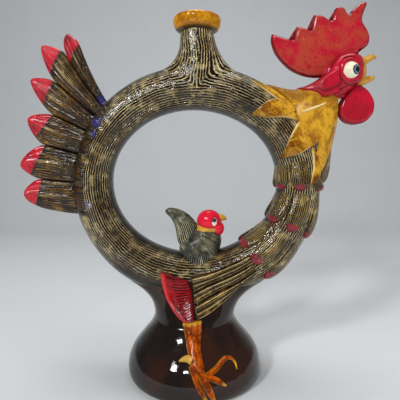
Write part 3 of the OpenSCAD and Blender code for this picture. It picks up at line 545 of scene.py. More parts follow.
def flowCount(along, over):
    # Count of combed lines that come down the neck and turn off along the ring: near the middle of
    # the neck it follows the way sideways, far off it the way over the tube, in a soft minimum
    up = np.maximum(over, 0.01)
    nearest = (np.maximum(along, 0.01) ** -2.6 + up ** -2.6) ** (-1 / 2.6)
    return np.where(over > 0, nearest, over) / ring["pitch"]


def blueSpots(points):
    # Dabs of blue glaze: soft round spots at X, Z of a radius
    total = np.zeros(points.shape[:-1])
    for x, z, radius in ring["blue"]:
        total += 0.8 * np.exp(-((points[..., 0] - x) ** 2 + (points[..., 2] - z) ** 2) / radius ** 2)
    return np.clip(total, 0, 0.9)


def makeRing():
    # The closed tube, uneven by hand, and dark in its eye, on its outer edge, in patches and seams; the
    # patch between the neck and the crest leaf and the seam at the tail's roots are painted shade
    t = np.linspace(0, 360, ring["stepsRound"] + 1)[:, None]
    p = np.linspace(0, 360, ring["stepsTube"] + 1)[None, :]
    out = np.cos(rad(p))
    h = ripple(ringPoint(t, p), 17.0, 0.35)[:-1, :-1]
    along = np.abs((t + 90) % 360 - 180) * np.pi / 180 * (ringEdge(t) - 20 + 20 * out)
    over = (ring["flowAngle"] - np.minimum(p, 360 - p)) * np.pi / 180 * 22.0
    dark = smooth(out, -0.7, -0.92) + 0.8 * smooth(out, 0.78, 0.96)
    for at, reach, strength, low, high in ring["patches"]:
        dark = dark + strength * np.exp(-((t - at) / reach) ** 4) * smooth(out, low, high)
    for at, end, full, strength, low, high in ring["seamsAndShade"]:
        dark = dark + strength * smooth(np.abs(t - at), end, full) * smooth(out, low, high)
    fields = {"lines": flowCount(along, over), "darkAndShade": np.clip(dark, 0, 1),
              "blue": blueSpots(ringPoint(t, p))}
    piece = addPiece("ringBody", ringPoint(t[:-1], p[:, :-1], h), fields, True)
    place(piece, ringGlaze, "combed_glaze", "ring_body")


neck = {"height": 31.5, "radius": 16.5, "rows": 80, "sides": 160,
        # share of the height over the crown, half length and half width over the radius
        "keys": [[-0.9, 3.2, 1.1], [-0.62, 3.2, 1.3], [-0.43, 3.02, 1.35], [-0.2, 2.25, 1.33],
                 [-0.04, 1.82, 1.29], [0.13, 1.5, 1.22], [0.32, 1.27, 1.13], [0.54, 1.1, 1.05],
                 [0.76, 1.02, 1.0], [0.9, 0.98, 0.97], [1.0, 0.96, 0.96]]}


def makeNeck():
    # Level ovals whose half length and half width follow curves over the height
    high, length, width = columnsThrough(neck["keys"], neck["rows"])
    lean = 2.2 * smooth(high, 1.0, 0.2) * smooth(high, -0.5, 0.1)
    grid = ovals(ring["shift"] + lean, length * neck["radius"], width * neck["radius"],
                 crownZ + high * neck["height"], neck["sides"])
    grid[..., 0] += ripple(grid, 9.0, 0.3)
    wide = wrapped(grid)
    steps = np.linalg.norm(np.diff(wide, axis=1), axis=2)
    walk = np.concatenate([0 * steps[:, :1], np.cumsum(steps, 1)], 1)
    quarter = neck["sides"] // 4
    along = np.min([np.abs(walk - walk[:, k:k + 1]) for k in (quarter, 3 * quarter)], 0)
    over = wide[..., 2] - (ringZ + (ring["up"] + ring["eyeHeight"] / 2) / 2 - 3)
    piece = addPiece("jugNeck", grid, {"lines": flowCount(along, over)})
    place(piece, ringGlaze, "combed_glaze", "neck")


collar = {"height": 14.0, "radius": 23.0, "rows": 64, "sides": 128,
          # share of the overhang, share of the height, down the outside and up the bore
          "keys": [[-0.05, -0.06], [0.12, 0.0], [0.45, 0.05], [0.72, 0.17], [0.9, 0.36], [1.0, 0.6],
                   [0.98, 0.78], [0.82, 0.92], [0.45, 1.0], [0.0, 0.99], [-0.4, 0.95], [-0.66, 0.82],
                   [-0.69, 0.6], [-0.69, 0.2], [-0.69, -0.6]]}


def makeCollar():
    # A rounded coil: a profile turned round the neck, down into the bore, a little out of true
    out, high = columnsThrough(collar["keys"], collar["rows"])
    a = fullTurn(collar["sides"])
    r = neck["radius"] + (collar["radius"] - neck["radius"]) * out
    r = r + np.where(out > 0.3, 0.25 * np.sin(a * 3 + 0.6) - 0.25, 0)
    z = crownZ + neck["height"] + high * collar["height"] - 0.25 * (1 + np.sin(a * 2 + 2))
    # darker under the coil's foot and down the bore: painted shade
    edge = np.clip(smooth(high, 0.16, 0.0) + smooth(out, -0.45, -0.66), 0, 1)
    piece = addPiece("mouthCollar", ovals(ring["shift"], r, r, z, collar["sides"]), {"edge": edge})
    place(piece, collarGlaze, "gold_glaze", "mouth_collar")


def bellRadius(z):
    fine = curveThrough(pedestal["keys"], 200)
    share = np.interp(np.asarray(z) / pedestal["height"], fine[:, 0], fine[:, 1])
    return pedestal["waistRadius"] + (pedestal["footRadius"] - pedestal["waistRadius"]) * share


def makePedestal():
    # A thrown bell: its outside is turned from the curve of radius over height, its inside lies a
    # wall further in, and a cap over the waist stays inside the saddle
    high = np.concatenate([[0, 0.6, 1.6], np.linspace(3.5, pedestal["height"], 70)])
    outside = bellRadius(high) - 1.6 * np.exp(-high / 0.8)
    roof = pedestal["height"] - pedestal["wall"]
    inHigh = np.concatenate([np.linspace(roof, 1.2, 40), [0]])
    inside = bellRadius(inHigh * pedestal["height"] / roof) - pedestal["wall"]
    inside[-1] += 0.8
    capRadius, capHigh = np.array(pedestal["cap"]).T
    r = np.concatenate([capRadius, outside[::-1], inside[::-1], capRadius[:1]])[:, None]
    z = np.concatenate([capHigh, high[::-1], inHigh[::-1], [roof]])[:, None]
    grid = ovals(0.0, r, r, z, pedestal["sides"])
    place(addPiece("bellFoot", grid), darkGlaze, "dark_glaze", "pedestal")


saddle = {"rows": 60, "sides": 120,
          # height, half length and half width
          "keys": [[50, 43.0, 43.0], [56, 41.9, 41.9], [61, 40.9, 40.6], [67, 41.2, 38.6],
                   [73, 43.0, 35.6], [78, 45.6, 32.8], [83, 49.8, 30.2], [88, 55.5, 27.8],
                   [92, 61.5, 25.8], [96, 68.0, 24.3], [100, 71.0, 23.2], [105, 70.0, 22.0],
                   [110, 67.0, 20.0]]}


def saddleMiddle(z):
    # From the middle of the bell over to the middle of the ring
    return ring["shift"] * np.clip((z - pedestal["height"]) / 38, 0, 1)


def makeSaddle():
    # Level ovals that open from the waist until they meet the ring's underside
    z, length, width = columnsThrough(saddle["keys"], saddle["rows"])
    grid = ovals(saddleMiddle(z), length, width, z, saddle["sides"])
    place(addPiece("ringSaddle", grid), darkGlaze, "dark_glaze", "ring_saddle")


def faceDepth(x, z):
    # How far out the jug's right face lies at x, z: a soft maximum of ring, saddle and pedestal
    r = np.hypot(x - ring["shift"], z - ringZ)
    t = np.degrees(np.arctan2(z - ringZ, x - ring["shift"]))
    inner, outer = eyeEdge(t), ringEdge(t)
    c = (2 * r - outer - inner) / (outer - inner)
    onRing = ring["depth"] / 2 * np.sqrt(np.clip(1 - c * c, 0, 1))
    sizes = curveThrough(saddle["keys"], 200)
    length, width = (np.interp(np.clip(z, 56, 109), sizes[:, 0], sizes[:, k]) for k in (1, 2))
    onSaddle = width * np.sqrt(np.clip(1 - ((x - saddleMiddle(z)) / length) ** 2, 0, 1))
    onSaddle = onSaddle * (z > 56) * (z < 109)
    onBell = np.sqrt(np.clip(bellRadius(z) ** 2 - x * x, 0, None)) * (z < pedestal["height"])
    return (onRing ** 8 + onSaddle ** 8 + onBell ** 8) ** 0.125


makeRing()
makeNeck()
makeCollar()
makePedestal()
makeSaddle()
print("vessel thrown")


# Tail

tail = {"reach": 79.0, "ridge": 10.0, "edge": 4.2, "rows": 90, "across": 41, "overlap": 14.0,
        "blunt": 57.5,
        # directions in degrees, each with its share of the reach beyond the ring
        "roots": [139, 141.5, 146, 153.5, 165, 179, 196],
        "notches": [[129.5, 0.71], [134.7, 0.75], [143.8, 0.65], [154, 0.48], [165.3, 0.47],
                    [177.7, 0.47], [188, 0.48]],
        "tips": [[130.5, 0.88], [138.2, 1], [147.7, 0.88], [158.6, 0.72], [173.4, 0.7], [183.1, 0.66]],
        # length of the red tip and how much further it runs down the upper edge
        "red": [[20, 5], [20, 0], [22, -4], [18, -5], [18, -6], [16, -4]]}


def polarPoint(places):
    # Direction and radius from the ring's middle, made X and Z
    return np.stack([ring["shift"] + places[:, 1] * np.cos(rad(places[:, 0])),
                     ringZ + places[:, 1] * np.sin(rad(places[:, 0]))], -1)


def featherEdge(root, notch, tip, side):
    # From inside the ring to the notch beside the next feather, and on to a blunt tip
    foot = np.array([root, ringEdge(root) - tail["overlap"]])
    mark = np.array([notch[0], ring["radius"] + notch[1] * tail["reach"]])
    far = ring["radius"] + tip[1] * tail["reach"]
    end = np.array([tip[0] + side * tail["blunt"] / far, far - 0.6])
    keys = [foot + (mark - foot) * s for s in (0, 0.33, 0.66, 0.92)]
    keys += [mark + (end - mark) * s for s in (0.12, 0.4, 0.75, 1)]
    keys = np.array(keys)
    keys[5:7, 1] += 2.0
    return polarPoint(curveThrough(keys, tail["rows"]))


def makeFeather(i):
    lower = featherEdge(tail["roots"][i], tail["notches"][i], tail["tips"][i], -1)
    upper = featherEdge(tail["roots"][i + 1], tail["notches"][i + 1], tail["tips"][i], 1)
    steps = np.linalg.norm(np.diff((lower + upper) / 2, axis=0), axis=1)
    along = np.concatenate([[0], np.cumsum(steps)])[:, None]

    def furrows(u, v):
        # Lines cut with a tool: long dips that run along the feather and fade towards its tip
        return sum(hump(v - c - 0.03 * np.sin(5 * u + i + 2 * k), 0.032)
                   * smooth(u, 0.05 + 0.06 * k, 0.22) * smooth(u, 0.86, 0.5)
                   for k, c in enumerate((0.18, 0.37, 0.68, 0.83)))

    def thickness(u, v, gap, flat):
        # A ridge along the middle, cut furrows each side of it, and a rounded rim. The root lies
        # over the ring's skin and thins out on it.
        fromRidge = np.abs(v - 0.5 - 0.06 * np.sin(3 * u + i))
        slope = 1 - (2 * np.minimum(fromRidge, 0.5)) ** 1.15
        blade = tail["edge"] / 2 + (tail["ridge"] - tail["edge"]) / 2 * slope - 1.1 * furrows(u, v)
        skin = faceDepth(flat[..., 0], flat[..., 1])
        over = skin + 1.1 * smooth(along, 0, 9) - 0.5 * furrows(u, v)
        half = (blade ** 5 + np.maximum(over, 0) ** 5) ** 0.2
        return half * roundEdge(gap, 2.2) * (1 - 0.55 * smooth(u, 0.75, 1.0))

    grid, v, gap = sheetLoops(lower, upper, thickness, tail["across"], True)
    u = column(tail["rows"])
    red, slant = tail["red"][i]
    cut, middle = furrows(u, v), v - 0.5 - 0.06 * np.sin(3 * u + i)
    fields = {"lines": 13.5 * v + 0.5 * np.sin(4 * u),
              "tip": red - (along[-1] - along) + slant * (2 * v - 1),
              # dark cut furrows, and painted shade along the rims between feathers and at the roots on the
              # ring
              "darkAndShade": np.clip(0.95 * cut + 0.9 * smooth(gap, 2.0, 0.6)
                               + 0.85 * smooth(along, 27, 12), 0, 1),
              "blue": blueSpots(wrapped(grid)),
              # a gold line painted as the highlight along the ridge, and a fainter gold line beside it
              "giltAndHighlight": 0.9 * hump(middle - 0.03, 0.02) * smooth(u, 0.2, 0.5)
              + 0.7 * hump(middle + 0.2, 0.015) * smooth(u, 0.3, 0.6)}
    piece = addPiece("tailFeather%d" % (i + 1), grid, fields)
    place(piece, tailGlaze, "combed_glaze", "tail_feather_%d" % (i + 1))


for number in range(6):
    makeFeather(number)
print("tail fanned")


# Head and shawl

head = {"reach": 33.5, "direction": 35.0, "length": 43.0, "height": 38.0, "width": 34.0,
        "rows": 150, "sides": 220,
        # share of the height, back and face as shares of the length, share of the width
        "keys": [[-0.12, -0.26, 0.36, 0.7], [0, -0.3, 0.42, 0.78], [0.12, -0.28, 0.55, 0.9],
                 [0.28, -0.22, 0.72, 0.97], [0.45, -0.18, 0.765, 1], [0.63, -0.12, 0.77, 1],
                 [0.8, 0.02, 0.76, 0.88], [0.92, 0.14, 0.7, 0.66], [1, 0.32, 0.56, 0.3]]}
headX = ring["shift"] + (ring["radius"] + head["reach"]) * np.cos(rad(head["direction"]))
headZ = ringZ + (ring["radius"] + head["reach"]) * np.sin(rad(head["direction"]))
eye = {"x": headX + 0.37 * head["length"], "y": -0.35 * head["width"], "z": headZ + 0.5 * head["height"],
       "radius": 9.5, "pupil": 4.6, "turn": 28.0, "domeRows": 24, "baseRows": 6, "sides": 48}


def headAt(u, v):
    # X and Z at shares of the head's length and height
    return np.array([headX + u * head["length"], headZ + v * head["height"]])


# Folds of skin on the cheek: a line in shares of the head's length and height, width and rise
folds = [([[0.6, 0.74], [0.42, 0.9], [0.22, 0.86], [0.1, 0.68], [-0.01, 0.44], [-0.12, 0.14]], 2.1, 2.0),
         ([[0.19, 0.62], [0.12, 0.38], [0.0, 0.12], [-0.08, -0.06]], 1.6, 1.6),
         ([[0.18, 0.38], [0.32, 0.22], [0.5, 0.22], [0.62, 0.36]], 1.5, 1.5),
         ([[0.6, 0.16], [0.36, 0.07], [0.14, -0.04], [0.0, -0.12]], 1.9, 1.4),
         ([[0.02, 0.84], [-0.1, 0.62], [-0.16, 0.38], [-0.2, 0.12]], 1.6, 1.2)]


def foldHeight(x, z):
    # Each fold is a round ridge, highest along its middle, with a crease along both its feet that is
    # darkened with painted shade
    total, crease = np.zeros_like(x), np.zeros_like(x)
    for line, width, rise in folds:
        path = curveThrough([headAt(*q) for q in line], 60)
        near = np.min(np.hypot(x[..., None] - path[:, 0], z[..., None] - path[:, 1]), -1)
        total = np.maximum(total, rise * np.sqrt(np.clip(1 - (near / (1.5 * width)) ** 2, 0, 1)))
        crease = np.maximum(crease, hump(near - 1.5 * width, 0.7))
    return total, crease


def makeHead():
    # Level ovals from the seat to the crown, with folds raised on both cheeks
    grid = levelOvals(head["keys"], headZ, head["height"], head["length"], head["width"], headX,
                      head["rows"], head["sides"])
    turn = np.sin(fullTurn(head["sides"]))
    rise, crease = foldHeight(grid[..., 0], grid[..., 2])
    flank = smooth(np.abs(turn), 0.25, 0.75)
    grid[..., 1] -= rise * flank * np.sign(turn)
    # the creases along the folds' feet are darkened: painted shade
    piece = addPiece("roosterHead", grid, {"crease": wrapped(crease * flank) * 0.8})
    place(piece, redGlaze, "red_glaze", "head", "cheek_folds_right", "cheek_folds_left")


comb = {"length": 93.0, "height": 85.0, "thickness": 11.0, "rows": 220, "across": 64,
        # shares of the length and height from the head's seat, along the upper edge and the lower one
        "upper": [[-0.6, 0.66], [-0.585, 0.65], [-0.48, 0.615], [-0.385, 0.592], [-0.375, 0.64],
                  [-0.352, 0.725], [-0.335, 0.732], [-0.27, 0.72], [-0.205, 0.69], [-0.2, 0.74],
                  [-0.18, 0.845], [-0.163, 0.86], [-0.09, 0.85], [-0.002, 0.8], [0.005, 0.85],
                  [0.05, 0.935], [0.082, 0.948], [0.13, 0.93], [0.178, 0.862], [0.215, 0.91],
                  [0.29, 0.985], [0.345, 0.998], [0.357, 0.97], [0.325, 0.87], [0.322, 0.79],
                  [0.375, 0.7], [0.402, 0.62], [0.385, 0.53], [0.3, 0.47]],
        "lower": [[-0.61, 0.62], [-0.608, 0.56], [-0.57, 0.45], [-0.5, 0.35], [-0.41, 0.265],
                  [-0.3, 0.205], [-0.19, 0.178], [-0.08, 0.18], [0.02, 0.22], [0.12, 0.32], [0.22, 0.4],
                  [0.3, 0.44]]}


def alongCurve(keys, count, scale=1.0, origin=0.0, finer=6):
    # Places evenly spaced by arc length along a curve through the keys
    fine = curveThrough(np.asarray(keys) * scale + origin, count * finer)
    length = np.concatenate([[0], np.cumsum(np.linalg.norm(np.diff(fine, axis=0), axis=1))])
    s = np.linspace(0, length[-1], count)
    return np.stack([np.interp(s, length, fine[:, k]) for k in range(2)], -1)


def makeComb():
    scale, origin = np.array([comb["length"], comb["height"]]), np.array([headX, headZ])
    upper, lower = (alongCurve(comb[edge], comb["rows"], scale, origin) for edge in ("upper", "lower"))

    def thickness(u, v, gap, flat):
        # A flat slab with a rolled rim, pressed in slightly inside it
        pressed = 0.1 * hump(gap - 7, 3.5) + 0.03 * np.sin(u * 31)
        return comb["thickness"] / 2 * roundEdge(gap, 4.0) * (1 - pressed)

    grid, v, gap = sheetLoops(lower, upper, thickness, comb["across"])
    rim = 0.75 * smooth(gap, 2.4, 0.5) + 0.16 * smooth(gap, 9, 4)
    place(addPiece("headComb", grid, {"edge": rim}), combRed, "red_glaze", "comb")


nape = {"rows": 70, "across": 34,
        # X and Z of both edges of the skin that runs from the head's back down onto the shawl
        "upper": [[100.5, 288.2], [106.0, 289.3], [114.0, 293.0], [121.0, 297.2], [129.0, 303.0],
                  [137.0, 308.0]],
        "lower": [[100.0, 285.6], [107.0, 281.8], [115.0, 280.6], [120.5, 276.8], [128.0, 277.4],
                  [138.0, 281.5]]}


def makeNape():
    upper, lower = (alongCurve(nape[edge], nape["rows"]) for edge in ("upper", "lower"))

    def thickness(u, v, gap, flat):
        # As thick as the shawl under it, with a low fold along its middle
        fold = 0.9 * hump(v - 0.52 + 0.1 * u, 0.12) * smooth(u, 0.1, 0.4)
        return (13.5 + 6.5 * smooth(u, 0, 0.6) + fold) * roundEdge(gap, 3.6)

    grid, v, gap = sheetLoops(lower, upper, thickness, nape["across"])
    u = column(nape["rows"])
    # a dark line beside the fold: painted shade
    fold = 0.7 * hump(v - 0.38 + 0.1 * u, 0.05) * smooth(u, 0.15, 0.4)
    piece = addPiece("napeFlap", grid, {"crease": fold, "edge": 0.6 * smooth(gap, 1.4, 0.2)})
    place(piece, redGlaze, "red_glaze", "nape")


wattle = {"height": 30.0, "apart": 3.15, "thickness": 6.0, "rows": 80, "across": 36,
          # shares of the head's length and of the height, down the front and up the back
          "keys": [[0.72, 0.24], [0.9, 0.04], [1.03, -0.3], [1.0, -0.66], [0.82, -0.93], [0.6, -1.0],
                   [0.38, -0.9], [0.25, -0.62], [0.28, -0.3], [0.42, 0.0], [0.56, 0.22]]}


def makeWattle(side, word):
    scale, origin = np.array([head["length"], wattle["height"]]), np.array([headX, headZ])
    keys, lowest = wattle["keys"], 5
    front = alongCurve(keys[:lowest + 1], wattle["rows"], scale, origin)
    back = alongCurve((keys[lowest:] + keys[:1])[::-1], wattle["rows"], scale, origin)

    def thickness(u, v, gap, flat):
        # A plump leaf with a rolled rim and a pressed middle
        return wattle["thickness"] / 2 * roundEdge(gap, 4.5) * (1 - 0.16 * smooth(gap, 6, 11))

    grid, v, gap = sheetLoops(back, front, thickness, wattle["across"])
    grid[..., 1] += side * wattle["apart"]
    piece = addPiece("wattle" + word, grid, {"edge": 0.6 * smooth(gap, 2.2, 0.3)})
    place(piece, redGlaze, "red_glaze", "wattle_" + word.lower())


def ballGrid(centre, radius, axis, spread=180.0, rows=40, sides=64):
    # Circles round an axis, at angles from its pole out to the spread
    axis = np.asarray(axis, float) / np.linalg.norm(axis)
    side = np.cross(axis, [0.3, 0, 1.0])
    side /= np.linalg.norm(side)
    up = np.cross(side, axis)
    q = rad(np.linspace(0.5, spread - 0.5, rows))[:, None, None]
    a = np.linspace(0, 2 * np.pi, sides, endpoint=False)[None, :, None]
    outward = np.cos(a) * side + np.sin(a) * up
    return np.asarray(centre) + radius * (np.cos(q) * axis + np.sin(q) * outward)


def makeEye(side, word):
    node = word.lower()
    centre = np.array([eye["x"], -eye["y"] * side, eye["z"]])
    gaze = np.array([np.sin(rad(eye["turn"])), side * np.cos(rad(eye["turn"])), 0.02])
    ball = ballGrid(centre, eye["radius"], [0, side, 0])
    place(addPiece("eyeball" + word, ball), whiteGlaze, "white_glaze", "eyeball_" + node)
    # A low dome whose rim is the iris and whose middle is the pupil
    q = column(eye["domeRows"])
    spread = np.degrees(np.arcsin(eye["pupil"] / eye["radius"]))
    dome = ballGrid(centre, eye["radius"], gaze, spread, eye["domeRows"], eye["sides"])
    dome = dome + (dome - centre) / eye["radius"] * (0.55 * roundEdge(1 - q, 0.25))[..., None]
    base = ballGrid(centre, eye["radius"] - 0.8, gaze, spread, eye["baseRows"], eye["sides"])[::-1]
    iris = np.concatenate([smooth(np.abs(q - 0.66), 0.2, 0.08) * 0.9, np.zeros((eye["baseRows"], 1))])
    pupil = addPiece("pupil" + word, np.concatenate([dome, base]), {"edge": iris})
    place(pupil, pupilGlaze, "black_glaze", "pupil_" + node)
    # The lids: a round roll that circles the ball, thicker above and behind
    a = fullTurn(96)[0]
    behind = np.cos(a - rad(120))
    thick = 1.7 + 0.5 * np.maximum(0, behind)
    reach = eye["radius"] * 0.96 + 0.5 * behind
    outward = np.stack([np.cos(a), 0 * a, np.sin(a)], -1)
    path = outward * reach[:, None] + [centre[0], side * (head["width"] / 2 - 0.6), centre[2]]
    b = fullTurn(20)[..., None]
    roll = np.cos(b) * outward[:, None] + np.sin(b) * acrossWay
    lid = addPiece("eyelid" + word, path[:, None] + thick[:, None, None] * roll, None, True)
    place(lid, redGlaze, "red_glaze", "eyelid_" + node)


beak = {"length": 12.0, "corner": [4.2, 6.2, 12.5], "cornerAt": [0.745, 0.56],
        # shares of the way to the tip and of the head's height, and half width and half thickness
        # in quarters of the length
        "upper": [[0.58, 0.78], [0.74, 0.81], [0.85, 0.87], [0.93, 0.91], [0.98, 0.9], [1.0, 0.85]],
        "upperWide": [[1.5, 2.5], [1.3, 2.2], [1.1, 1.5], [0.85, 1.0], [0.55, 0.6], [0.15, 0.15]],
        "lower": [[0.56, 0.28], [0.72, 0.31], [0.86, 0.355], [0.96, 0.4], [1.0, 0.42]],
        "lowerWide": [[1.6, 2.0], [1.4, 1.8], [1.1, 1.3], [0.7, 0.8], [0.2, 0.2]]}


def makeBeak(name, node, keys, wide):
    # An oval section carried along a bent line, tapering to its point
    reach, quarter = head["length"] * 0.77 + beak["length"], beak["length"] / 4
    line = curveThrough(np.asarray(keys) * [reach, head["height"]] + [headX, headZ], 40)
    path = np.stack([line[:, 0], 0 * line[:, 0], line[:, 1]], -1)
    size = curveThrough(np.asarray(wide) * quarter, 40)
    parts = [addPiece(name + "Half", pathTube(path, acrossWay, size[:, 0], size[:, 1], 28))]
    if node == "upper_beak":
        # The corner of the open mouth, a low cushion against the face
        corner = ballGrid([0, 0, 0], 1.0, acrossWay, 180, 30, 40) * np.array(beak["corner"])
        x, z = headAt(*beak["cornerAt"])
        parts.append(addPiece("mouthCorner", corner + np.array([x, 0, z])))
    joinPieces(parts, name, beakGlaze, "gold_glaze", node)


birdNeck = {"rows": 80, "sides": 110, "clayBelow": 0.4, "backRows": 70, "backAcross": 40,
            # height, X of the middle and half width of the throat leaf where it leaves the shawl
            "leafRoot": [[196, 113.5, 3.0], [206, 117.5, 5.0], [216, 121.0, 6.4], [229, 125.0, 8.0],
                         [236, 128.0, 10.0]],
            # rise from ring to head, back and front along the head's length, and width, all as shares
            "keys": [[-0.06, -0.3, -0.2, 0.12], [0.01, -0.36, -0.08, 0.34], [0.07, -0.47, 0.02, 0.62],
                     [0.18, -0.6, 0.07, 0.88], [0.35, -0.68, 0.1, 1.06], [0.5, -0.8, 0.15, 1.17],
                     [0.65, -0.95, 0.21, 1.2], [0.8, -1.0, 0.24, 1.13], [0.92, -0.92, 0.24, 1.0],
                     [1.0, -0.72, 0.26, 0.88], [1.06, -0.55, 0.24, 0.8]],
            # X and Z of the shawl's back, along its top and along its lower edge
            "backUpper": [[69.0, 291.6], [76.0, 290.6], [84.0, 288.5], [92.0, 287.0], [100.0, 286.8],
                          [110.0, 289.5], [121.0, 294.5], [128.0, 296.0]],
            "backLower": [[68.6, 290.2], [75.0, 283.6], [82.0, 278.4], [89.0, 273.2], [96.0, 268.6],
                          [104.0, 267.4], [114.0, 271.0], [127.0, 276.0]],
            # the raised line that carries on the side leaf's rim, in shares as for the folds
            "line": [[-0.66, -0.5], [-0.5, -0.44], [-0.33, -0.37], [-0.14, -0.28]]}


def makeBirdNeck():
    # Level ovals from where the throat leaves the ring up to the head's seat, with soft folds
    grid = levelOvals(birdNeck["keys"], ringZ, headZ - ringZ, head["length"], head["width"], headX,
                      birdNeck["rows"], birdNeck["sides"])
    high = columnsThrough(birdNeck["keys"], birdNeck["rows"])[0]
    a = fullTurn(birdNeck["sides"])
    fold = 0.5 * np.sin(a * 5 + high * 4) + 0.3 * np.sin(a * 9 - high * 9)
    grid[..., 0] += fold * np.cos(a)
    grid[..., 1] -= fold * np.sin(a)
    turns = np.linspace(0, 1, birdNeck["sides"] + 1)[None, :]
    x, z = wrapped(grid)[..., 0], wrapped(grid)[..., 2]
    heights, leafMiddle, leafHalf = np.asarray(birdNeck["leafRoot"]).T
    leaf = np.interp(z, heights, leafHalf) - np.abs(x - np.interp(z, heights, leafMiddle))
    shawl = 30 * (high - birdNeck["clayBelow"]) - 1.6 * np.sin(turns * 31)
    fields = {"lines": 54 * turns, "tip": np.maximum(shawl, 1.2 * leaf)}
    parts = [addPiece("birdNeckForm", grid, fields), shawlBack()]
    joinPieces(parts, "birdNeck", shawlGlaze, "gold_glaze", "bird_neck")


def shawlLine():
    # A thin raised line on the bird's neck: it lies as far out as the oval of its height is there
    x, z = curveThrough([headAt(*q) for q in birdNeck["line"]], 30).T
    rows = curveThrough(birdNeck["keys"], birdNeck["rows"])
    high = (z - ringZ) / (headZ - ringZ)
    back, front, wide = (np.interp(high, rows[:, 0], rows[:, k]) for k in (1, 2, 3))
    off = (x - headX - (back + front) / 2 * head["length"]) / ((front - back) / 2 * head["length"])
    out = wide * head["width"] / 2 * np.sqrt(1 - np.clip(off, -0.95, 0.95) ** 2)
    size = 1.1 * np.sin(np.linspace(0.15, np.pi - 0.15, 30)) ** 0.5
    return pathTube(np.stack([x, -out, z], -1), -acrossWay, size, size, 14)


def shawlBack():
    # The shawl's back fills the hollow between the ring's crown and the neck
    rows = birdNeck["backRows"]
    upper, lower = (alongCurve(birdNeck[edge], rows) for edge in ("backUpper", "backLower"))

    def thickness(u, v, gap, flat):
        skin = faceDepth(flat[..., 0], flat[..., 1]) + 1.6
        body = 10.5 + 5.0 * smooth(u, 0.15, 0.9)
        return (np.maximum(skin, 0) ** 6 + body ** 6) ** (1 / 6) * roundEdge(gap, 6.0)

    grid, v, gap = sheetLoops(lower, upper, thickness, birdNeck["backAcross"])
    tip = 3.2 - 4.5 * smooth(column(rows), 0.3, 0.0) * smooth(v, 0.2, 0.8)
    return addPiece("shawlBack", grid, {"lines": 20 * v, "tip": tip})


# Hackle leaves: both edges as turns round the ring and round its tube
hackles = {"crest": [[[38, 51], [46, 51.5], [51, 52], [56.5, 50], [62, 44]],
                     [[36, 18], [43, 22], [50, 28], [56, 36], [61.6, 41]]],
           "side": [[[31, 38], [37, 68], [44, 104], [50, 119], [52.6, 123]],
                    [[38, 51], [46.4, 51.5], [49.6, 63], [51.6, 90], [52.8, 120]]],
           "breast": [[[19, 40], [19, 60], [18, 85], [18, 110], [18.2, 138]],
                      [[33, 40], [32, 60], [29, 88], [24, 114], [19, 140]]],
           "throat": [[[21, 12], [14, 18], [8, 26], [4.5, 38], [1.3, 67]],
                      [[22, 44], [15.5, 52], [9.5, 60], [5.5, 67], [1.6, 71]]]}


def leafGrid(edges, rise, rows=60, across=25, ridge=0.35):
    # A leaf lying on the ring: between two edge curves, raised with steep sides and a low ridge
    a, b = curveThrough(edges[0], rows), curveThrough(edges[1], rows)
    s, u = easedRow(across), column(rows)
    t, p = (a[:, k:k + 1] + (b - a)[:, k:k + 1] * s for k in (0, 1))
    shape = (1 - ridge) * rims(s, 0.12) + ridge * (1 - np.abs(2 * s - 1))
    h = rise * shape * (1 - 0.45 * u ** 3) * roundEdge(1 - u, 0.04) + 0.1
    return bothFaces(ringPoint(t, p, h), ringPoint(t, p, -1.2)), u, around(s)


def makeHackles():
    for name, edges in hackles.items():
        grid, u, rim = leafGrid(edges, 3.0)
        # cream along the rims: cream glaze, partly painted highlight
        edge = 0.85 * smooth(np.abs(2 * rim - 1), 0.86, 0.97) * smooth(u, 0.05, 0.3)
        crease = 0.6 * smooth(u, 0.55, 0.85) * (1 - edge)
        for word, turn in bothSides:
            parts = [addPiece("leaf", turn(grid), {"edge": edge, "crease": crease})]
            if name == "side":
                # the raised line is cream all along: a painted highlight on its ridge
                parts.append(addPiece("leafLine", turn(shawlLine()), {"edge": 1.0}))
            node = "hackle_%s_%s" % (name, word.lower())
            joinPieces(parts, "hackle" + name.capitalize() + word, goldGlaze, "gold_glaze", node)


makeHead()
makeComb()
makeNape()
for sideSign, sideWord in ((-1, "Right"), (1, "Left")):
    makeWattle(sideSign, sideWord)
    makeEye(sideSign, sideWord)
makeBeak("upperBeak", "upper_beak", beak["upper"], beak["upperWide"])
makeBeak("lowerBeak", "lower_beak", beak["lower"], beak["lowerWide"])
makeBirdNeck()
makeHackles()
print("head and shawl modelled")


# Breast, wings and legs

breast = {"tubeAngles": [150, 99, 38], "halfAngle": 24, "rise": 4.0, "along": 64, "across": 27,
          # share of a tongue's length, share of its half width there
          "outline": [[0, 0.75], [0.25, 0.95], [0.5, 1.0], [0.7, 0.93], [0.82, 0.78], [0.91, 0.59],
                      [0.97, 0.36], [1, 0.04]],
          # directions of the roots, direction of the tips, and how far the row is turned round the tube
          "rows": [("upper", [[16, 16, 6], -2.5, 0]), ("middle", [[-2, -2, -2], -26, -8]),
                   ("lower", [[-25, -25, -25], -54, 2])]}


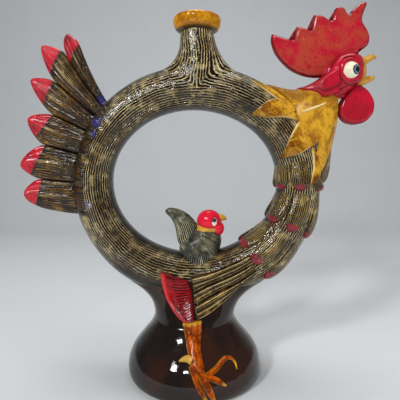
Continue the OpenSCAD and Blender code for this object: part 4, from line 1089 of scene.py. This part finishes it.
def makeBreast():
    # Tongues that lie along the tube, rising from nothing to a rounded red tip
    share, half = columnsThrough(breast["outline"], breast["along"])
    s = easedRow(breast["across"])
    off = np.abs(2 * around(s) - 1)
    crown = 0.5 * rims(s, 0.2) + 0.5 * rims(s, 0.5)
    grow = smooth(share, 0.0, 0.8) * roundEdge(1 - share, 0.12) * (1 - 0.2 * smooth(share, 0.8, 1.0))
    h = breast["rise"] * crown * grow - 0.4 * (1 - smooth(share, 0, 0.3))
    fields = {"lines": 11 * around(s), "tip": 16 * (share - 0.79) - 1.0 * smooth(off, 0.4, 1.0),
              "darkAndShade": 0.6 * smooth(off, 0.92, 1.0) * smooth(share, 0.4, 0.7)}
    for name, (roots, tip, turn) in breast["rows"]:
        parts = []
        for root, angle in zip(roots, breast["tubeAngles"]):
            t = root + (tip - root) * share
            p = angle + turn + breast["halfAngle"] * half * (1 - 2 * s)
            grid = bothFaces(ringPoint(t, p, h + 0.1), ringPoint(t, p, -1.2))
            for form in (grid, mirrored(grid)):
                parts.append(addPiece("breastPart", form, fields))
        joinPieces(parts, "breastFeathers" + name.capitalize(), breastGlaze, "combed_glaze",
                   "breast_feathers_" + name)


def reliefGrid(edgeA, edgeB, rise, rows, across):
    # A relief on the right face between two edge curves given in shares of the ring's radius
    a, b = (curveThrough(np.asarray(edge) * ring["radius"] + [ring["shift"], ringZ], rows)
            for edge in (edgeA, edgeB))
    s, u = easedRow(across), column(rows)
    x, z = (a[:, k:k + 1] + (b - a)[:, k:k + 1] * s for k in (0, 1))
    base = faceDepth(x, z)
    top = np.stack([x, -(base + rise(u, s) + 0.2), z], -1)
    return bothFaces(top, np.stack([x, -(base - 1.5), z], -1)), u, around(s)


wing = {"rise": 4.0,
        # gilt lines on a quill: share of the way across, width and strength
        "lines": [[0.2, 0.024, 1.0], [0.34, 0.02, 0.8], [0.62, 0.016, 0.7], [0.93, 0.024, 0.7]],
        # shares of the ring's radius from its middle: both ends of the shoulder, and the flights' edges
        "edge": [[-0.29, -0.67], [-0.28, -0.76], [-0.255, -0.86], [-0.21, -0.94], [-0.15, -1.0],
                 [-0.085, -1.035]],
        "root": [[-0.07, -0.74], [-0.045, -0.81], [-0.035, -0.87], [-0.03, -0.92], [-0.025, -0.98],
                 [-0.02, -1.03]],
        "flights": [[[-0.05, -0.7], [0.14, -0.66], [0.33, -0.58], [0.42, -0.53]],
                    [[-0.03, -0.83], [0.11, -0.76], [0.28, -0.69], [0.42, -0.61]],
                    [[-0.02, -0.91], [0.13, -0.84], [0.34, -0.74], [0.47, -0.65]],
                    [[0, -1.02], [0.12, -0.97], [0.27, -0.87], [0.45, -0.72]]]}


def makeWing():
    def shoulderRise(u, s):
        # A flat shield with steep sides, and a rolled outer edge
        flat = 0.85 * rims(s, 0.1) + 0.15 * hump(s - 0.1, 0.06)
        return wing["rise"] * flat * rims(u, 0.07)

    def flightRise(u, s):
        # A long quill with two thin raised lines near its upper edge and a groove between them
        cord = hump(s - 0.18, 0.05) + hump(s - 0.36, 0.05)
        body = 0.7 * rims(s, 0.16) + 0.3 * cord
        return wing["rise"] * 0.8 * body * roundEdge(np.minimum(u * 1.4, 1 - u), 0.06)

    shield, u, rim = reliefGrid(wing["edge"], wing["root"], shoulderRise, 70, 41)
    fields = {"lines": 19 * u + 4.0 * (rim - 0.35) ** 2, "filled": 0.95 * smooth(rim, 0.5, 0.3),
              "blush": 0.9 * smooth(rim, 0.2, 0.1) * smooth(np.abs(u - 0.5), 0.5, 0.44)}
    for word, turn in bothSides:
        piece = addPiece("wingShoulder" + word, turn(shield), fields)
        place(piece, wingGlaze, "red_glaze", "wing_shoulder_" + word.lower())
    quills = []
    for upper, lower in zip(wing["flights"], wing["flights"][1:]):
        quill, u, rim = reliefGrid(np.asarray(upper) - [0, 0.006], lower, flightRise, 80, 25)
        giltAndHighlight = sum(strength * hump(rim - at, width) for at, width, strength in wing["lines"])
        dark = 0.95 * smooth(np.abs(rim - 0.27), 0.06, 0.03) + 0.7 * smooth(rim, 0.36, 0.46)
        quills.append((quill, {"lines": 8 * rim, "darkAndShade": dark * smooth(u, 1.0, 0.7),
                               "giltAndHighlight": 1.1 * giltAndHighlight * smooth(u, 0.0, 0.1)}))
    for word, turn in bothSides:
        parts = [addPiece("quill", turn(quill), fields) for quill, fields in quills]
        joinPieces(parts, "flightFeathers" + word, flightGlaze, "combed_glaze",
                   "flight_feathers_" + word.lower())


def bellPath(rows, count):
    # A line on the bell: direction in degrees and height as a share of the pedestal's
    turn, high, size = curveThrough(rows, count).T
    z, turn = high * pedestal["height"], rad(turn)
    r = bellRadius(z)
    points = np.stack([r * np.sin(turn), -r * np.cos(turn), z], -1)
    slope = bellRadius(z + 0.5) - bellRadius(z - 0.5)
    normal = np.stack([np.sin(turn), -np.cos(turn), -slope], -1)
    return points, normal / np.linalg.norm(normal, axis=1)[:, None], size


leg = {"shankWidth": 15.0, "shankHeight": 5.2, "toeWidth": 7.0, "toeHeight": 3.1, "spurHeight": 4.0,
       # steps along and round
       "shankSteps": (60, 40), "toeSteps": (48, 28), "spurSteps": (30, 24),
       # direction on the bell in degrees, share of the bell's height, share of the width and height
       "shank": [[-2, 1.13, 1.2], [-1, 1.02, 1.15], [-0.5, 0.93, 1.05], [0, 0.85, 0.94],
                 [1, 0.72, 0.82], [3, 0.6, 0.78], [5, 0.5, 0.7]],
       "toes": [[[-1, 0.57, 1.1], [0.5, 0.48, 0.85], [3, 0.36, 0.75], [7, 0.21, 0.7], [11, 0.06, 0.3]],
                [[3.5, 0.6, 1.4], [6.5, 0.46, 1.25], [10.5, 0.32, 1.05], [14, 0.18, 0.9],
                 [16.5, 0.05, 0.35]],
                [[9, 0.44, 0.8], [15, 0.41, 0.9], [20, 0.36, 0.85], [26, 0.28, 0.25]],
                [[11, 0.45, 0.8], [16, 0.49, 0.85], [21, 0.53, 0.85], [27, 0.585, 0.8], [32, 0.61, 0.7],
                 [37, 0.59, 0.5], [39.5, 0.53, 0.4], [39, 0.44, 0.15]]],
       "spur": [[-1, 0.63, 1.2], [-5, 0.65, 1.05], [-9.5, 0.64, 0.7], [-13.5, 0.615, 0.2]]}


def limb(rows, width, height, count, sides):
    # A half round strip on the bell, with low wrinkles across it
    path, normal, size = bellPath(rows, count)
    u = np.linspace(0, 1, count)
    wrinkle = 1 + 0.025 * np.sin(u * 37)
    return pathTube(path, normal, size * width / 2 * wrinkle, size * height * wrinkle, sides, -0.2)


def makeLegs():
    steps, sides = leg["shankSteps"]
    shank = limb(leg["shank"], leg["shankWidth"], leg["shankHeight"], steps, sides)
    a = np.linspace(0, 2 * np.pi, sides + 1)[None, :]
    wave = np.sin(a * 9 + 1.4 * np.sin(5 * column(steps)))
    ends = 0.7 * smooth(column(steps), 0.08, 0.0) + 0.8 * smooth(np.cos(a), 0.93, 0.99)
    shankFields = {"edge": ends, "crease": 0.7 * smooth(wave, 0.35, 0.95)}
    steps, sides = leg["toeSteps"]
    over = np.cos(np.linspace(0, 2 * np.pi, sides + 1))[None, :]
    nail = 0.9 * smooth(column(steps), 0.74, 0.92) + 0.7 * smooth(np.abs(over), 0.8, 0.97)
    streak = 0.6 * smooth(over, -0.1, 0.2) * smooth(over, 0.6, 0.3) * smooth(nail, 0.3, 0.1)
    toeFields = {"edge": np.clip(nail, 0, 0.9), "crease": streak}
    toes = [limb(rows, leg["toeWidth"] * 0.86, leg["toeHeight"], steps, sides) for rows in leg["toes"]]
    spur = limb(leg["spur"], leg["toeWidth"], leg["spurHeight"], *leg["spurSteps"])
    for word, turn in bothSides:
        node = word.lower()
        piece = addPiece("shank" + word, turn(shank), shankFields)
        place(piece, amberGlaze, "amber_glaze", "shank_" + node)
        parts = [addPiece("toe", turn(toe), toeFields) for toe in toes]
        joinPieces(parts, "toes" + word, amberGlaze, "amber_glaze", "toes_" + node)
        place(addPiece("spur" + word, turn(spur)), beakGlaze, "amber_glaze", "spur_" + node)


makeBreast()
makeWing()
makeLegs()
print("breast, wings and legs laid on")


# Chick

chick = {"x": ring["shift"] + 5.0, "length": 38.0, "height": 23.0, "width": 28.0, "headRadius": 12.5,
         "band": 6.0, "wattle": [6.6, 8.6, 7.8], "eye": [4.6, 11.1, 2.2], "eyeRadius": 2.1, "beakSteps": 24,
         # share of the height, back and breast as shares of the length, share of the width
         "keys": [[-0.46, -0.32, 0.2, 1.2], [-0.34, -0.42, 0.28, 1.3], [-0.16, -0.54, 0.38, 1.22],
                  [0.08, -0.6, 0.46, 1.1], [0.3, -0.6, 0.5, 1.03], [0.5, -0.52, 0.52, 0.97],
                  [0.7, -0.38, 0.51, 0.88], [0.87, -0.27, 0.48, 0.76], [1, -0.18, 0.46, 0.68],
                  [1.06, -0.14, 0.44, 0.62]],
         "bandKeys": [[-0.3, -0.15, 0.44, 0.6], [0, -0.17, 0.47, 0.69], [0.5, -0.15, 0.485, 0.7],
                      [1, -0.12, 0.5, 0.68], [1.3, -0.08, 0.48, 0.6]],
         # shares of the length and height, up the back and up the front of the tail
         "tailBack": [[-0.42, 0.0], [-0.62, 0.4], [-0.68, 0.8], [-0.72, 1.15], [-0.82, 1.5],
                      [-0.97, 1.78], [-0.95, 1.92]],
         "tailFront": [[0.1, 0.1], [0.06, 0.5], [-0.02, 0.9], [-0.14, 1.3], [-0.36, 1.7], [-0.62, 1.93],
                       [-0.86, 1.99]],
         # places before the head's face and over its middle, and how thick the beak is there
         "beak": [[-3.5, 2.6], [-1, 3.0], [1.6, 2.8], [3.8, 1.9], [4.9, 0.7]],
         "beakThick": [4.6, 4.0, 3.1, 1.8, 0.4]}
chickTop = floorZ + chick["height"]
chickHead = np.array([chick["x"] + 0.19 * chick["length"], 0,
                      chickTop + chick["band"] + chick["headRadius"] * 0.28])


def makeChick():
    size = (chick["length"], chick["width"], chick["x"])
    body = levelOvals(chick["keys"], floorZ, chick["height"], *size, 60, 96)
    x, z = wrapped(body)[..., 0], wrapped(body)[..., 2]
    lines = (x * 0.55 + z * 0.25 + 0.02 * (z - floorZ) ** 2) / 0.95
    place(addPiece("chickBody", body, {"lines": lines}), chickGlaze, "combed_glaze", "chick_body")
    band = levelOvals(chick["bandKeys"], chickTop, chick["band"], *size, 24, 80)
    place(addPiece("chickNeckBand", band), beakGlaze, "gold_glaze", "chick_neck_band")
    ball = ballGrid([0, 0, 0], chick["headRadius"], [0, 0, 1], 128, 60, 96) * np.array([1.0, 0.95, 0.9])
    ball = chickHead + ball
    place(addPiece("chickHead", ball, eyePatch(ball)), chickRed, "red_glaze", "chick_head")
    scale, origin = np.array([chick["length"], chick["height"]]), np.array([chick["x"], floorZ])
    back, front = (alongCurve(chick[edge], 70, scale, origin) for edge in ("tailBack", "tailFront"))

    def thickness(u, v, gap, flat):
        return 5.6 * roundEdge(gap, 6.0) * (1 - 0.3 * u)

    grid, v, gap = sheetLoops(back, front, thickness, 30, True)
    place(addPiece("chickTail", grid, {"lines": 12 * v}), chickGlaze, "combed_glaze", "chick_tail")
    face = chickHead + [chick["headRadius"], 0, 0]
    x, z = curveThrough(chick["beak"], chick["beakSteps"]).T
    last = len(chick["beakThick"]) - 1
    thick = np.interp(np.linspace(0, last, chick["beakSteps"]), np.arange(last + 1), chick["beakThick"])
    beakGrid = pathTube(np.stack([x, 0 * x, z], -1) + face, acrossWay, thick, thick, 24)
    place(addPiece("chickBeak", beakGrid), beakGlaze, "gold_glaze", "chick_beak")
    drop = ballGrid([0, 0, 0], 1.0, [1, 0, 0], 180, 24, 32) * np.array(chick["wattle"])
    drop = drop + chickHead + np.array([0.7, 0, -0.62]) * chick["headRadius"]
    place(addPiece("chickWattle", drop), chickRed, "red_glaze", "chick_wattle")
    at = np.array(chick["eye"])
    dots = [addPiece("dot", ballGrid(chickHead + at * [1, side, 1], chick["eyeRadius"], [0, side, 0],
                                     180, 20, 28)) for side in (-1, 1)]
    joinPieces(dots, "chickEyes", pupilGlaze, "black_glaze", "chick_eyes")


def eyePatch(ball):
    # White round the eye, and a dark brow line over it
    x, y, z = np.moveaxis(wrapped(ball) - chickHead, -1, 0)
    near = np.hypot((x - 5.0) / 0.8, (z - 0.4) / 1.5)
    flank = smooth(np.abs(y), 4, 7)
    brow = smooth(np.abs(near - 3.2), 0.7, 0.3) * smooth(z, 0, 3) * flank
    return {"edge": smooth(near, 3.1, 2.5) * flank, "crease": brow * 0.6}


makeChick()
print("chick seated")


# Studio

studio = {"camera": (0.0060, -0.400, 0.224), "pitch": 83.5, "lens": 36.0,
          "floor": rgb(214, 216, 217), "floorCloud": rgb(206, 209, 211), "sky": (0.86, 0.9, 0.95, 1),
          "skyLight": 0.14,
          # place, what it points at, width and height, watts, and whether it shows in the glaze
          "lamps": {"keyLamp": ((-0.75, -0.95, 0.95), (0, 0, 0.2), (0.2, 0.2), 11.5, True),
                    "glintLamp": ((-0.25, -0.95, 0.72), (0, 0, 0.18), (0.1, 0.1), 2.8, True),
                    "fillLamp": ((1.25, -0.5, 0.5), (0, 0, 0.18), (0.7, 0.9), 8.0, False),
                    "topLamp": ((0.1, 0.15, 1.25), (0, 0, 0.2), (0.8, 0.5), 7.0, True)}}


def addItem(name, data):
    item = bpy.data.objects.new(name, data)
    bpy.context.scene.collection.objects.link(item)
    return item


def makeFloor():
    # A floor that curves up into a backdrop: a straight run, a quarter circle and a wall
    near, far, bend, high, wide = -3.0, 0.75, 0.5, 2.6, 4.0
    q = np.linspace(0, np.pi / 2, 24)
    y = np.concatenate([[near, 0.0], far + bend * np.sin(q), [far + bend]])
    z = np.concatenate([[0.0, 0.0], bend - bend * np.cos(q), [high]])
    points = [(x, y[i], z[i]) for i in range(len(y)) for x in (-wide, wide)]
    mesh = bpy.data.meshes.new("floor")
    mesh.from_pydata(points, [], [(i, i + 1, i + 3, i + 2) for i in range(0, len(points) - 2, 2)])
    mesh.polygons.foreach_set("use_smooth", np.full(len(mesh.polygons), True))
    material, tree, shader = newMaterial("paleFloor", 0.5)
    shade = mixColour(noise(place3d(tree), 9.0), studio["floor"], studio["floorCloud"])
    feed(shader.inputs["Base Color"], shade)
    feed(shader.inputs["Roughness"], 0.85)
    mesh.materials.append(material)
    addItem("floor", mesh)


def makeLight():
    for name, (spot, aim, size, watts, inGloss) in studio["lamps"].items():
        lamp = bpy.data.lights.new(name, "AREA")
        lamp.shape = "RECTANGLE"
        lamp.size, lamp.size_y = size
        lamp.energy = watts
        item = addItem(name, lamp)
        item.location = spot
        item.visible_glossy = inGloss
        item.rotation_euler = (Vector(aim) - Vector(spot)).to_track_quat("-Z", "Y").to_euler()
    world = bpy.data.worlds.new("studio")
    bpy.context.scene.world = world
    world.use_nodes = True
    background = world.node_tree.nodes["Background"]
    feed(background.inputs[0], studio["sky"])
    feed(background.inputs[1], studio["skyLight"])


def makeCamera():
    camera = bpy.data.cameras.new("camera")
    camera.sensor_width = 36.0
    camera.lens = studio["lens"]
    camera.clip_start = 0.01
    item = addItem("camera", camera)
    item.location = studio["camera"]
    item.rotation_euler = (rad(studio["pitch"]), 0, 0)
    bpy.context.scene.camera = item


makeFloor()
makeLight()
makeCamera()
bpy.context.scene.view_settings.view_transform = "Standard"
print("studio set")
